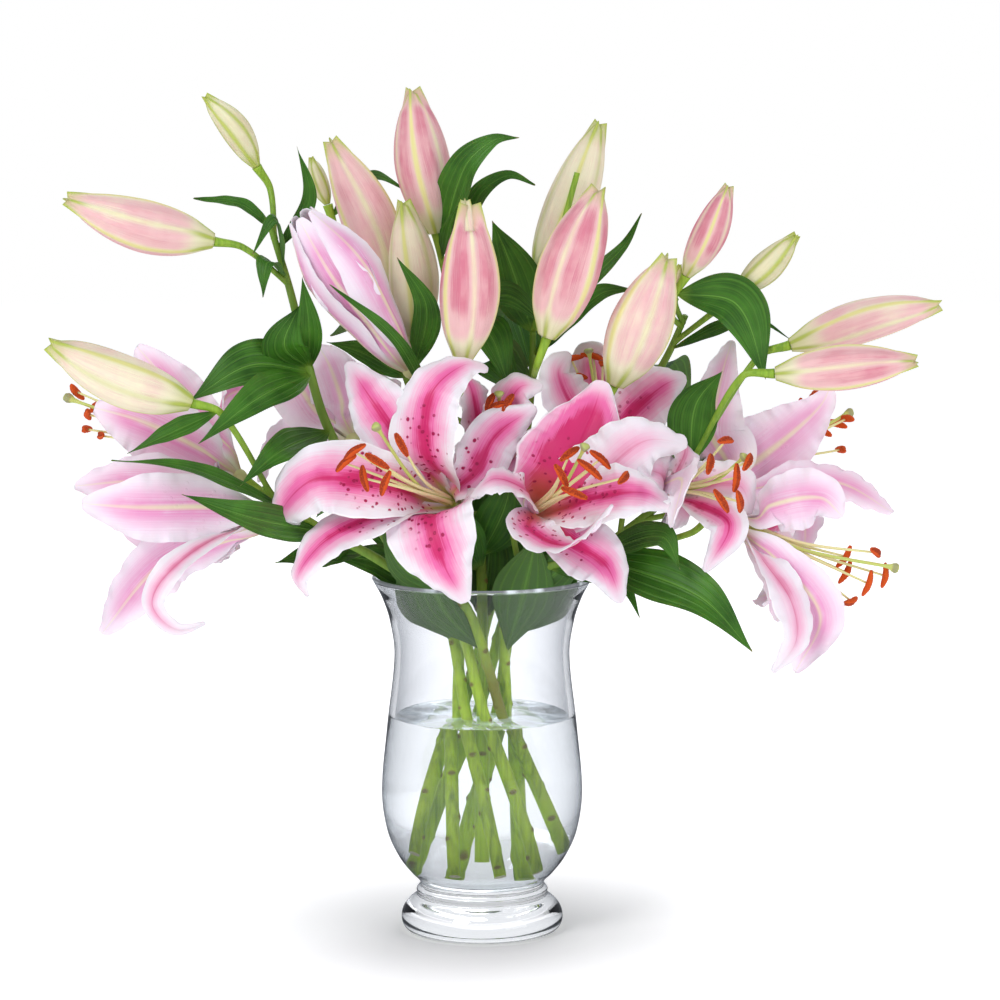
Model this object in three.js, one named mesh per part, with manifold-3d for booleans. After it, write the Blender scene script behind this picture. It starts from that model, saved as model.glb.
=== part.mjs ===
// Cut lilies standing in a clear glass vase of water. Millimetres, +Z up.
// The origin is the middle of the vase's flat underside. -Y is the side seen first.
import * as THREE from "three";
import Module from "manifold-3d";

const wasm = await Module();
wasm.setup();

// Vase: outer radius by height, then the wall, the bowl and the lip.
const VASE_SIDES = 24;
const VASE_OUTER = [
  [50, 0], [55.5, 4], [56.7, 11], [53.5, 20], [43.7, 32],
  [49.5, 40], [58.5, 52], [66.5, 70], [70.3, 98],
  [66.5, 144], [61.2, 195], [64.5, 220], [76.6, 249],
];
const VASE_INNER = [
  [75, 250.6], [66.6, 237], [60.4, 220], [57, 195], [62, 144],
  [65.8, 98], [60.5, 68.5], [50.5, 50], [40, 41.5], [22, 36],
];
const WATER_TOP = 151;
const WATER_GAP = 0.36;
const HOLE_GAP = 0.45;

// Stems: eight lean around one in the middle, all twisted the same way at the neck.
const WAIST_HEIGHT = 160;
const WAIST_RADIUS = 17;
const STEM_SIDES = 6;

const PETAL_THICK = 1.3;
const CLAW_RADII = [8, 12];
const LEAF_THICK = 1.0;
const PEDICEL_GAP = 0.35;

const UP = new THREE.Vector3(0, 0, 1);

function vec(p) {
  return new THREE.Vector3(p[0], p[1], p[2]);
}

// A small seeded generator, so that each build draws the same numbers.
function randomFrom(seed) {
  let state = seed >>> 0;
  return () => {
    state = (Math.imul(state, 1664525) + 1013904223) >>> 0;
    return state / 4294967296;
  };
}

// Smooth path through points: cubic pieces whose slopes follow the neighbouring points.
class Path {
  constructor(points) {
    this.points = points.map((p) => (p.isVector3 ? p.clone() : vec(p)));
    this.at_length = [0];
    for (let i = 1; i < this.points.length; i++) {
      const step = this.points[i].distanceTo(this.points[i - 1]);
      this.at_length.push(this.at_length[i - 1] + step);
    }
    this.length = this.at_length[this.at_length.length - 1];
  }

  slope(i) {
    const last = this.points.length - 1;
    const a = Math.max(i - 1, 0);
    const b = Math.min(i + 1, last);
    const run = this.at_length[b] - this.at_length[a];
    return this.points[b].clone().sub(this.points[a]).divideScalar(run);
  }

  at(t) {
    const s = Math.min(Math.max(t, 0), 1) * this.length;
    let i = 0;
    while (i < this.points.length - 2 && s > this.at_length[i + 1]) i++;
    const h = this.at_length[i + 1] - this.at_length[i];
    const u = (s - this.at_length[i]) / h;
    const u2 = u * u;
    const u3 = u2 * u;
    return new THREE.Vector3()
      .addScaledVector(this.points[i], 2 * u3 - 3 * u2 + 1)
      .addScaledVector(this.slope(i), (u3 - 2 * u2 + u) * h)
      .addScaledVector(this.points[i + 1], -2 * u3 + 3 * u2)
      .addScaledVector(this.slope(i + 1), (u3 - u2) * h);
  }

  direction(t) {
    const e = 0.002;
    return this.at(Math.min(t + e, 1)).sub(this.at(Math.max(t - e, 0))).normalize();
  }
}

// Frames along a path: the side vector is carried along and turned by twist (degrees) at the end.
const FRAME_STEPS = 24;
function framesAlong(path, side0, twist) {
  const frames = [];
  let side = side0.clone();
  for (let k = 0; k <= FRAME_STEPS; k++) {
    const t = k / FRAME_STEPS;
    const along = path.direction(t);
    side = side.clone().addScaledVector(along, -side.dot(along)).normalize();
    const turned = side.clone().applyAxisAngle(along, THREE.MathUtils.degToRad(twist) * t);
    const normal = new THREE.Vector3().crossVectors(along, turned);
    frames.push({ t, at: path.at(t), along, side: turned, normal });
  }
  return frames;
}

// Turns a blade about its own length so that its inner face looks along a direction
// from two fifths of its length on.
function turnTo(frames, face) {
  if (!face) return frames;
  const middle = frames[FRAME_STEPS / 2];
  const want = vec(face);
  const angle = Math.atan2(-want.dot(middle.side), want.dot(middle.normal));
  return frames.map((f) => {
    const s = Math.min(f.t / 0.4, 1);
    const turn = angle * s * s * (3 - 2 * s);
    const side = f.side.clone().applyAxisAngle(f.along, turn);
    return { ...f, side, normal: new THREE.Vector3().crossVectors(f.along, side) };
  });
}

function solidOf(points, faces) {
  const vertProperties = new Float32Array(points.length * 3);
  points.forEach((p, i) => p.toArray(vertProperties, i * 3));
  const triVerts = new Uint32Array(faces.flat());
  return new wasm.Manifold(new wasm.Mesh({ numProp: 3, vertProperties, triVerts }));
}

// Joins pieces into one body; a hollow sealed inside it is filled and a loose scrap dropped.
function joined(solids) {
  const all = solids.slice(1).reduce((sum, one) => sum.add(one), solids[0]);
  return all.decompose().reduce((most, one) => (one.volume() > most.volume() ? one : most));
}

// A closed skin over rings of equal count, each end drawn to one point.
function skin(rings, start, end) {
  const n = rings[0].length;
  const points = [start, ...rings.flat(), end];
  const faces = [];
  for (let j = 0; j < n; j++) {
    const k = (j + 1) % n;
    faces.push([0, 1 + k, 1 + j]);
    for (let i = 0; i < rings.length - 1; i++) {
      const a = 1 + i * n;
      const b = a + n;
      faces.push([a + j, a + k, b + k], [a + j, b + k, b + j]);
    }
    const last = 1 + (rings.length - 1) * n;
    faces.push([last + j, last + k, points.length - 1]);
  }
  return solidOf(points, faces);
}

function ringAround(frame, radius, sides, lobe = 0) {
  const ring = [];
  for (let j = 0; j < sides; j++) {
    const a = (2 * Math.PI * j) / sides;
    const r = radius * (j % 2 ? 1 - lobe : 1);
    ring.push(
      frame.at.clone()
        .addScaledVector(frame.side, r * Math.cos(a))
        .addScaledVector(frame.normal, r * Math.sin(a)),
    );
  }
  return ring;
}

function anySide(along) {
  const helper = Math.abs(along.z) < 0.8 ? UP : new THREE.Vector3(1, 0, 0);
  return new THREE.Vector3().crossVectors(helper, along).normalize();
}

// A round piece along a path, with its radius given at stations from 0 to 1.
function tube(points, stations, sides, lobe = 0) {
  const path = points instanceof Path ? points : new Path(points);
  const frames = framesAlong(path, anySide(path.direction(0)), 0);
  const rings = stations.map(([t, r]) => {
    return ringAround(frames[Math.round(t * FRAME_STEPS)], r, sides, lobe);
  });
  return skin(rings, path.at(stations[0][0]), path.at(stations[stations.length - 1][0]));
}

// A round piece drawn to a point at each end, with its radius given at steps between them.
function spindle(path, rows, sides) {
  const frames = framesAlong(path, anySide(path.direction(0)), 0);
  const rings = rows.map(([k, r]) => ringAround(frames[k], r, sides));
  return skin(rings, path.at(0), path.at(1));
}

// A thin blade: thick in the middle and sharp at its two edges, with one point at its tip.
// Each station is [t, half width]; shape gives the cup, the ruffle and the crease of its middle.
function blade(frames, stations, thick, columns, shape) {
  const half = columns / 2;
  const points = [];
  const rows = [];
  for (const [t, width] of stations) {
    const f = frames[Math.round(t * FRAME_STEPS)];
    const row = { top: [], bottom: [] };
    for (let c = 0; c <= columns; c++) {
      const x = (c - half) / half;
      const lift = shape.cup(t) * width * x * x + shape.wave(t, x) - shape.crease * (x === 0);
      const p = f.at.clone()
        .addScaledVector(f.side, width * x)
        .addScaledVector(f.normal, lift);
      const edge = Math.abs(x) === 1;
      row.top.push(points.length);
      points.push(edge ? p : p.clone().addScaledVector(f.normal, thick / 2));
      row.bottom.push(edge ? row.top[c] : points.length);
      if (!edge) points.push(p.clone().addScaledVector(f.normal, -thick / 2));
    }
    rows.push(row);
  }
  const tip = points.length;
  points.push(frames[FRAME_STEPS].at.clone());
  const faces = [];
  rows.forEach((a, i) => {
    const b = rows[i + 1];
    for (let c = 0; c < columns; c++) {
      if (b) {
        const split = c < half;
        const quads = [[a.top, b.top, true], [a.bottom, b.bottom, false]];
        for (const [p, q, flip] of quads) {
          const tris = split
            ? [[p[c], p[c + 1], q[c + 1]], [p[c], q[c + 1], q[c]]]
            : [[p[c], p[c + 1], q[c]], [p[c + 1], q[c + 1], q[c]]];
          for (const tri of tris) faces.push(flip ? tri.reverse() : tri);
        }
      } else {
        faces.push([a.top[c + 1], a.top[c], tip], [a.bottom[c], a.bottom[c + 1], tip]);
      }
      if (i === 0) {
        faces.push([a.top[c], a.top[c + 1], a.bottom[c]]);
        faces.push([a.top[c + 1], a.bottom[c + 1], a.bottom[c]]);
      }
    }
  });
  return solidOf(points, faces.filter(([p, q, r]) => p !== q && q !== r && r !== p));
}

// Petal: half width along its length, narrow at the claw, drawn to a point at the tip.
function petalWidth(t, half) {
  return half * (0.07 * (1 - t) ** 2 + Math.sin(Math.PI * t ** 1.4) ** 0.9);
}

const PETAL_STATIONS = [0, 5, 10, 15, 20].map((k) => k / FRAME_STEPS);
const NARROW_PETAL_STATIONS = [0, 6, 12, 19].map((k) => k / FRAME_STEPS);

function petal(bloom, spec, random) {
  const base = vec(bloom.at);
  const axis = vec(bloom.dir).normalize();
  const away = vec(spec.to[0]).sub(base);
  const radial = away.addScaledVector(axis, -away.dot(axis)).normalize();
  const start = base.clone().addScaledVector(axis, 1).addScaledVector(radial, 2.6);
  const claw = base.clone().addScaledVector(axis, 15).addScaledVector(radial, spec.claw ?? 10);
  const path = new Path([start, claw, ...spec.to.map(vec)]);
  const side = new THREE.Vector3().crossVectors(axis, radial);
  const frames = turnTo(framesAlong(path, side, spec.twist ?? 0), spec.face);
  const half = (spec.width ?? 40) / 2;
  const wave = spec.wave ?? 2.5;
  const turns = 2.2 + random() * 0.8;
  const phase = [random() * 6.28, random() * 6.28];
  const cup = spec.cup ?? [0.5, -0.12];
  const shape = {
    cup: (t) => cup[0] * (1 - t) + cup[1] * t,
    wave: (t, x) => {
      const swing = Math.sin(2 * Math.PI * turns * t + phase[x > 0 ? 1 : 0]);
      return wave * swing * x * x * Math.sin(Math.PI * Math.min(t * 1.1, 1));
    },
    crease: 0.5,
  };
  const places = spec.columns === 2 ? NARROW_PETAL_STATIONS : PETAL_STATIONS;
  const stations = places.map((t) => [t, petalWidth(t, half)]);
  return blade(frames, stations, PETAL_THICK, spec.columns ?? 4, shape);
}

// Places around an open bloom for a petal that has no places of its own:
// each pair is how far along the bloom's axis and how far out from it.
const OPEN_INNER = [[38, 24], [62, 62], [44, 100]];
const OPEN_OUTER = [[34, 25], [48, 66], [22, 98]];

function bloomFrame(bloom) {
  const axis = vec(bloom.dir).normalize();
  const up = UP.clone().addScaledVector(axis, -UP.dot(axis)).normalize();
  return { base: vec(bloom.at), axis, up, right: new THREE.Vector3().crossVectors(up, axis) };
}

function aroundBloom(frame, azimuth, along, out) {
  const a = THREE.MathUtils.degToRad(azimuth);
  return frame.base.clone()
    .addScaledVector(frame.axis, along)
    .addScaledVector(frame.up, out * Math.cos(a))
    .addScaledVector(frame.right, out * Math.sin(a));
}

// Going round the throat, every other petal's claw stands a little inside the next one's.
function petalSpecs(bloom) {
  const frame = bloomFrame(bloom);
  const specs = bloom.petals.map((spec) => {
    if (spec.to) return { ...spec };
    const profile = spec.shape ?? (spec.inner ? OPEN_INNER : OPEN_OUTER);
    const size = spec.size ?? 1;
    const to = profile.map(([along, out]) => {
      return aroundBloom(frame, spec.azimuth, along * size, out * size).toArray();
    });
    return { width: spec.inner ? 46 : 34, ...spec, to };
  });
  const around = specs.map((spec) => {
    const away = vec(spec.to[0]).sub(frame.base);
    return [Math.atan2(away.dot(frame.right), away.dot(frame.up)), spec];
  });
  around.sort(([a], [b]) => a - b).forEach(([, spec], k) => { spec.claw = CLAW_RADII[k % 2]; });
  return specs;
}

function bloomPetals(bloom) {
  const random = randomFrom(bloom.seed);
  const { base, axis } = bloomFrame(bloom);
  const heart = tube(
    [base.clone().addScaledVector(axis, -4), base.clone().addScaledVector(axis, 5)],
    [[0, 2.4], [12 / 24, 4.8], [1, 3.4]], 6,
  );
  return joined([heart, ...petalSpecs(bloom).map((spec) => petal(bloom, spec, random))]);
}

// Stamens: six thin filaments with a long anther across each end, around one thicker style.
function anther(at, along, half) {
  const direction = vec(along).normalize();
  const path = new Path([
    at.clone().addScaledVector(direction, -half),
    at.clone().addScaledVector(direction, half),
  ]);
  return spindle(path, [[6, 2.2], [18, 2.2]], 3);
}

function bloomStamens(bloom) {
  const random = randomFrom(bloom.seed + 500);
  const frame = bloomFrame(bloom);
  const { base, axis } = frame;
  const on = (s) => base.clone().addScaledVector(axis, s);
  const parts = [];
  const tips = bloom.anthers ?? [30, 90, 150, 210, 270, 330].map((azimuth) => {
    const turn = azimuth + (bloom.turn ?? 0) + (random() - 0.5) * 20;
    return aroundBloom(frame, turn, 66 + random() * 8, 22 + random() * 8).toArray();
  });
  tips.forEach((tip) => {
    const end = vec(tip);
    const away = end.clone().sub(base);
    const radial = away.clone().addScaledVector(axis, -away.dot(axis));
    const start = on(10).addScaledVector(radial.clone().normalize(), 2.1);
    const middle = on(away.dot(axis) * 0.52).addScaledVector(radial, 0.3);
    const path = new Path([start, middle, end]);
    const rows = bloom.straight ? [[0, 0.9], [1, 0.8]] : [[0, 0.9], [12 / 24, 0.9], [1, 0.8]];
    parts.push(tube(path, rows, 3));
    const across = new THREE.Vector3().crossVectors(path.direction(1), radial).normalize();
    const tilt = across.addScaledVector(path.direction(1), random() - 0.5)
      .addScaledVector(radial.normalize(), random() - 0.5);
    parts.push(anther(end, tilt.toArray(), 7.5 + random() * 2));
  });
  const knob = bloom.stigma ? vec(bloom.stigma) : aroundBloom(frame, 20, 80, 9);
  const middle = on(40).lerp(knob, 0.1);
  const style = new Path([on(5.5), middle, knob]);
  parts.push(tube(style, [[0, 2.6], [3 / 24, 2.8], [6 / 24, 1.3], [22 / 24, 1.2], [1, 2.4]], 4));
  return joined(parts);
}

// Buds: long six-ridged spindles, a little bent.
const BUD_FORM = [[0, 0.34], [4, 0.74], [11, 1], [18, 0.78]];

function budSolid(bud) {
  const base = vec(bud.base);
  const tip = vec(bud.tip);
  const bend = bud.bend ? vec(bud.bend) : new THREE.Vector3();
  const middle = base.clone().lerp(tip, 0.5).add(bend);
  const path = new Path([base, middle, tip]);
  const form = bud.form ?? BUD_FORM;
  const stations = form.map(([k, r]) => [k / FRAME_STEPS, (r * bud.width) / 2]);
  const frames = framesAlong(path, anySide(path.direction(0)), 0);
  const rings = stations.map(([t, r]) => {
    return ringAround(frames[Math.round(t * FRAME_STEPS)], r, bud.width > 24 ? 12 : 6, bud.width > 24 ? 0.1 : 0);
  });
  return skin(rings, path.at(0), path.at(1));
}

// Leaves: lance-shaped blades growing out of a stem.
function leafWidth(t, half) {
  return half * (0.08 * (1 - t) ** 3 + Math.sin(Math.PI * t ** 0.85) ** 0.9) + 0.7 * (1 - t);
}

const LEAF_STATIONS = [0, 4, 10, 16, 21].map((k) => k / FRAME_STEPS);
const SMALL_LEAF_STATIONS = [0, 5, 12, 19].map((k) => k / FRAME_STEPS);

function leafSolid(leaf, base) {
  const path = new Path([base, ...leaf.to]);
  const ends = vec(leaf.to[leaf.to.length - 1]).sub(base);
  const tilt = THREE.MathUtils.degToRad(leaf.tilt ?? 50);
  const facing = new THREE.Vector3(0, -Math.sin(tilt), Math.cos(tilt));
  const side = new THREE.Vector3().crossVectors(facing, ends).normalize();
  const frames = framesAlong(path, side, leaf.twist ?? 0);
  const wave = leaf.wave ?? 1;
  const shape = {
    cup: () => leaf.cup ?? 0.22,
    wave: (t, x) => wave * Math.sin(7 * t + 2 * x + leaf.width) * x * x,
    crease: 0,
  };
  const rows = leaf.width < 18 ? SMALL_LEAF_STATIONS : LEAF_STATIONS;
  const stations = rows.map((t) => [t, leafWidth(t, leaf.width / 2)]);
  return blade(frames, stations, LEAF_THICK, 2, shape);
}

// Main stems: straight from the bowl past the neck, then bending to their heads.
function stemPath(stem) {
  const points = [];
  if (stem.waist === null) {
    points.push([0, 0, stem.foot], [0, 0, WAIST_HEIGHT], ...stem.to);
    return new Path(points);
  }
  const a = THREE.MathUtils.degToRad(stem.waist);
  const lineAt = (z) => {
    const run = (z - WAIST_HEIGHT) * stem.lean;
    return [
      WAIST_RADIUS * Math.cos(a) + run * Math.sin(a),
      WAIST_RADIUS * Math.sin(a) - run * Math.cos(a),
      z,
    ];
  };
  return new Path([lineAt(stem.foot), lineAt(WAIST_HEIGHT), lineAt(225), ...stem.to]);
}

function pathFraction(path, height) {
  let t = 0;
  while (t < 1 && path.at(t).z < height) t += 0.002;
  return t;
}

function pedicelPath(path, branch) {
  const from = path.at(pathFraction(path, branch.from));
  const head = BUDS[branch.head] ?? BLOOMS[branch.head];
  let end;
  let along;
  if (!head) {
    end = vec(branch.end);
    along = end.clone().sub(branch.by ? vec(branch.by[branch.by.length - 1]) : from).normalize();
  } else if (head.base) {
    const bend = head.bend ? vec(head.bend) : new THREE.Vector3();
    const middle = vec(head.base).lerp(vec(head.tip), 0.5).add(bend);
    along = middle.sub(vec(head.base)).normalize();
    end = vec(head.base).addScaledVector(along, -PEDICEL_GAP);
  } else {
    along = vec(head.dir).normalize();
    end = vec(head.at).addScaledVector(along, -4 - PEDICEL_GAP);
  }
  const reach = end.distanceTo(from);
  const near = end.clone().addScaledVector(along, -Math.min(reach * 0.35, branch.arch ?? 22));
  return new Path([from, ...(branch.by ?? []).map(vec), near, end]);
}

function pedicelSolid(path, branch) {
  const stations = [[0, 1.8], [10, 2.1], [18, 2.3], [24, branch.swell ?? 3.6]];
  return tube(path, stations.map(([k, r]) => [k / 24, r]), 4);
}

function stemSolid(stem) {
  const path = stemPath(stem);
  const knee = pathFraction(path, WAIST_HEIGHT);
  const bends = [11, 14, 17, 20, 24].map((k) => k / FRAME_STEPS).filter((t) => t > knee + 0.02);
  const stations = [0, knee, ...bends].map((t) => [t, stem.radius * (1 - 0.45 * t ** 3)]);
  const parts = [tube(path, stations, STEM_SIDES)];
  const branches = {};
  for (const branch of stem.branches) {
    branches[branch.head] = pedicelPath(path, branch);
    parts.push(pedicelSolid(branches[branch.head], branch));
  }
  for (const leaf of stem.leaves) {
    const base = leaf.on ? branches[leaf.on].at(leaf.at) : path.at(pathFraction(path, leaf.from));
    const outward = vec(leaf.to[0]).sub(base).normalize();
    parts.push(leafSolid(leaf, base.addScaledVector(outward, leaf.on ? 0.8 : 1.6)));
  }
  return joined(parts);
}

// Buds by name: base, tip, width across its ridges, and the bend of its middle.
const BUDS = {
  b1: { base: [-155, 0, 535], tip: [-189, -15, 583], width: 20, bend: [2, 0, 2] },
  b2: { base: [-183, -30, 485], tip: [-280, -55, 515], width: 35, bend: [0, 0, -4] },
  b3: { base: [-195, -85, 380], tip: [-286, -110, 422], width: 35, bend: [0, 0, -3] },
  b4: { base: [-32, 25, 488], tip: [-48, 15, 587], width: 38, bend: [-2, 0, 0] },
  b5: { base: [-63, 35, 447], tip: [-105, 25, 552], width: 38, bend: [3, 0, 2] },
  b6: { base: [-109, 60, 506], tip: [-120, 60, 539], width: 13 },
  b7: { base: [-47, 5, 408], tip: [-54, -5, 511], width: 34, bend: [3, 0, 0] },
  b8: { base: [-13, -35, 404], tip: [-8, -45, 511], width: 40, bend: [2, 0, 0] },
  b9: { base: [45, -30, 420], tip: [80, -45, 521], width: 42, bend: [0, 0, 0] },
  b10: { base: [39, 40, 457], tip: [82, 35, 564], width: 34, bend: [2, 0, 0] },
  b11: { base: [91, -23, 386], tip: [127, -30, 474], width: 42, bend: [0, 0, 0] },
  b12: { base: [133, 5, 444], tip: [137, 0, 467], width: 10 },
  b13: { base: [141, -5, 460], tip: [169, -15, 522], width: 24, bend: [2, 0, -1] },
  b14: { base: [178, 10, 448], tip: [218, 10, 487], width: 21, bend: [1, 0, -2] },
  b15: { base: [213, -5, 412], tip: [317, 0, 440], width: 30, bend: [0, 0, 4] },
  b16: { base: [200, -45, 396], tip: [295, -55, 405], width: 31, bend: [0, 0, 0] },
};

// Blooms by name: receptacle, the way the throat faces, and the petals around it.
// A petal is given by the places it runs through, by its width and by the way its inner
// face looks; one without places is drawn from its azimuth around the throat.
const BLOOMS = {
  A: {
    at: [-16, -30, 304], dir: [-0.58, -0.75, 0.3], seed: 11,
    petals: [
      { to: [[-35, -68, 350], [-33, -70, 390], [4, -50, 404]], width: 42 },
      { to: [[-65, -76, 323], [-112, -84, 330], [-125, -80, 295]], width: 50 },
      { to: [[-30, -82, 300], [-24, -95, 275], [-9, -80, 245]], width: 60 },
      { to: [[-50, -58, 345], [-72, -56, 376], [-96, -40, 406]], width: 40, columns: 2,
        face: [-0.3, -0.9, 0.3] },
      { to: [[-62, -68, 304], [-103, -84, 288], [-121, -84, 247]], width: 34, columns: 2,
        face: [-0.2, -0.7, 0.7] },
      { to: [[-4, -50, 330], [10, -44, 354], [38, -38, 373]], width: 36, columns: 2,
        face: [0.2, -0.9, 0.4] },
    ],
    anthers: [[-84, -100, 348], [-77, -105, 331], [-53, -100, 353], [-63, -112, 329],
      [-69, -108, 343], [-90, -96, 340]],
    stigma: [-71, -100, 367],
  },
  B: {
    at: [32, -38, 298], dir: [0.5, -0.72, 0.45], seed: 12,
    petals: [
      { to: [[53, -60, 337], [66, -56, 367], [76, -50, 397]], width: 62 },
      { to: [[74, -66, 331], [106, -72, 355], [141, -62, 351]], width: 50, wave: 4,
        face: [0.1, -0.9, 0.5] },
      { to: [[80, -84, 319], [108, -96, 322], [128, -90, 309]], width: 44,
        face: [-0.2, -0.8, 0.6] },
      { to: [[63, -88, 301], [86, -98, 285], [94, -84, 245]], width: 38,
        face: [0.2, -0.9, 0.3] },
      { to: [[29, -74, 320], [9, -80, 328], [-8, -76, 315]], width: 36, columns: 2,
        face: [0.1, -0.5, 0.8] },
      { to: [[33, -92, 295], [59, -118, 288], [88, -122, 317]], width: 42, columns: 2,
        face: [0, -0.1, 1] },
    ],
    anthers: [[59, -95, 346], [79, -100, 343], [94, -110, 332], [62, -120, 323],
      [72, -115, 338], [53, -112, 334]],
    stigma: [70, -100, 353],
  },
  C: {
    at: [12, 6, 326], dir: [0.0, -0.6, 0.8], seed: 13,
    petals: [
      { to: [[-2, -8, 358], [-8, -8, 384], [-18, 6, 396]], width: 34, columns: 2 },
      { to: [[16, -16, 362], [26, -20, 384], [43, -18, 385]], width: 38, columns: 2 },
      { to: [[26, -22, 344], [36, -26, 356], [50, -20, 352]], width: 34, columns: 2 },
      { azimuth: 345, inner: false, size: 0.4, columns: 2 },
      { azimuth: 185, inner: true, size: 0.4, columns: 2 },
      { azimuth: 238, inner: false, size: 0.4, columns: 2 },
    ],
    anthers: [[6, -30, 374], [12, -34, 372], [18, -32, 374]],
    stigma: [12, -34, 382],
  },
  D: {
    at: [88, 18, 334], dir: [-0.2, 0.0, 0.98], seed: 14,
    petals: [
      { to: [[68, -2, 360], [53, -6, 392], [62, 3, 406]], width: 42, columns: 2,
        face: [0.6, -0.7, 0.2] },
      { to: [[84, 30, 368], [76, 38, 398], [86, 30, 408]], width: 40, columns: 2 },
      { to: [[105, 8, 365], [130, 2, 386], [146, 15, 388]], width: 44,
        face: [-0.2, -0.9, 0.4] },
      { azimuth: 76, inner: false, size: 0.36, columns: 2 },
      { azimuth: 330, inner: true, size: 0.5, columns: 2 },
      { azimuth: 210, inner: false, size: 0.4, columns: 2 },
    ],
    straight: true,
    anthers: [[63, 26, 398], [67, 20, 386], [78, 24, 400], [84, 12, 396]],
    stigma: [74, 14, 408],
  },
  E: {
    at: [118, -40, 314], dir: [0.85, -0.5, 0.15], seed: 15,
    petals: [
      { to: [[134, -71, 327], [134, -108, 324], [126, -112, 298]], width: 30,
        face: [0.4, 0.8, -0.3], cup: [0.3, -0.1], columns: 2 },
      { to: [[146, -68, 309], [167, -84, 297], [150, -89, 265]], width: 32, columns: 2,
        face: [0.6, -0.8, 0.1] },
      { to: [[153, -50, 320], [176, -56, 320], [184, -54, 300]], width: 36, columns: 2,
        face: [0.1, -0.8, 0.6] },
      { azimuth: 25, inner: false, size: 0.45, columns: 2 },
      { azimuth: 145, inner: true, size: 0.3, columns: 2 },
      { azimuth: 300, inner: false, size: 0.4, columns: 2 },
    ],
    anthers: [[164, -80, 353], [153, -84, 338], [170, -92, 330], [172, -98, 315],
      [160, -104, 316], [178, -88, 340]],
    stigma: [178, -84, 344],
  },
  F: {
    at: [166, -10, 312], dir: [0.75, 0.5, 0.45], seed: 16,
    petals: [
      { to: [[160, 2, 350], [167, 8, 390], [175, 22, 414]], width: 52,
        face: [0.3, 0.9, 0.2] },
      { to: [[190, 2, 330], [221, 6, 354], [246, 16, 370]], width: 52,
        face: [0.3, 0.9, 0.3] },
      { to: [[208, -4, 316], [248, -8, 317], [287, -4, 295]], width: 36, columns: 2,
        face: [0, 0.7, 0.7] },
      { azimuth: 78, inner: true, size: 0.85, columns: 2 },
      { azimuth: 130, inner: false, size: 0.85, columns: 2 },
      { azimuth: 182, inner: true, size: 0.85, columns: 2 },
    ],
    straight: true,
    anthers: [[256, 45, 355], [234, 50, 371], [252, 40, 334], [240, 60, 345], [225, 62, 360],
      [250, 58, 350]],
    stigma: [262, 55, 360],
  },
  G: {
    at: [171, -62, 298], dir: [0.87, -0.25, -0.42], seed: 17,
    petals: [
      { to: [[196, -68, 308], [229, -74, 314], [244, -82, 302]], width: 42,
        face: [0.2, 0.9, -0.4] },
      { to: [[199, -82, 274], [230, -88, 232], [204, -84, 196]], width: 44,
        face: [0.5, 0.8, 0] },
      { to: [[191, -88, 272], [205, -102, 254], [205, -104, 229]], width: 32, columns: 2,
        face: [0.6, -0.8, 0] },
      { azimuth: 68, inner: false, size: 0.7, columns: 2 },
      { azimuth: 138, inner: true, size: 0.72, columns: 2 },
      { azimuth: 302, inner: false, size: 0.75, columns: 2 },
    ],
    anthers: [[261, -72, 256], [250, -70, 244], [266, -74, 277], [273, -64, 260],
      [246, -62, 273], [247, -60, 262]],
    stigma: [283, -74, 266],
  },
  H: {
    at: [-138, -60, 299], dir: [-0.96, 0.0, 0.02], seed: 18,
    petals: [
      { to: [[-185, -54, 314], [-233, -50, 322], [-280, -42, 318]], width: 42,
        face: [0, 0.8, -0.5] },
      { to: [[-183, -74, 308], [-230, -84, 309], [-271, -78, 311]], width: 46, columns: 2,
        face: [0, 0.95, -0.2] },
      { to: [[-181, -50, 288], [-220, -46, 283], [-263, -44, 302]], width: 32, columns: 2,
        face: [0, 0.6, 0.6] },
      { to: [[-174, -61, 283], [-218, -68, 268], [-254, -66, 227]], width: 46,
        face: [-0.4, 0.8, 0.3] },
      { to: [[-182, -83, 287], [-214, -98, 256], [-186, -96, 233]], width: 34, columns: 2,
        face: [-0.3, -0.8, 0.3] },
      { azimuth: 248, inner: true, size: 0.7, columns: 2 },
    ],
    straight: true,
    anthers: [[-208, -40, 300], [-214, -34, 310], [-216, -30, 296], [-206, -28, 306],
      [-210, -24, 292], [-216, -20, 302]],
    stigma: [-226, -30, 302],
  },
  I: {
    at: [-166, -20, 322], dir: [-0.8, 0.3, 0.5], seed: 19,
    petals: [
      { to: [[-194, -24, 342], [-234, -30, 362], [-267, -26, 371]], width: 50,
        face: [0.2, 0.9, -0.2] },
      { to: [[-198, -8, 362], [-226, -2, 396], [-240, 6, 411]], width: 38, columns: 2,
        face: [-0.5, 0.6, 0.5] },
      { azimuth: 136, inner: false, size: 0.32, columns: 2 },
      { azimuth: 185, inner: true, size: 0.4, columns: 2 },
      { azimuth: 245, inner: false, size: 0.6, columns: 2 },
      { azimuth: 302, inner: true, size: 0.85, columns: 2 },
    ],
    straight: true,
    anthers: [[-273, 10, 362], [-282, 18, 377], [-265, 20, 346], [-276, 26, 350],
      [-262, 30, 369], [-270, 36, 365]],
    stigma: [-292, 18, 374],
  },
  J: {
    at: [-90, 26, 342], dir: [-0.5, 0.62, 0.62], seed: 20,
    petals: [
      { to: [[-116, 18, 364], [-135, 26, 391], [-155, 38, 400]], width: 44, columns: 2,
        face: [-0.2, 0.9, 0.2] },
      { to: [[-98, 14, 372], [-106, 14, 396], [-114, 22, 409]], width: 40,
        face: [0, 0.95, 0.2] },
      { azimuth: 134, inner: false, size: 0.74, columns: 2 },
      { azimuth: 190, inner: true, size: 0.75, columns: 2 },
      { azimuth: 250, inner: false, size: 0.75, columns: 2 },
      { azimuth: 307, inner: true, size: 0.52, columns: 2 },
    ],
    straight: true,
  },
};

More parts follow.
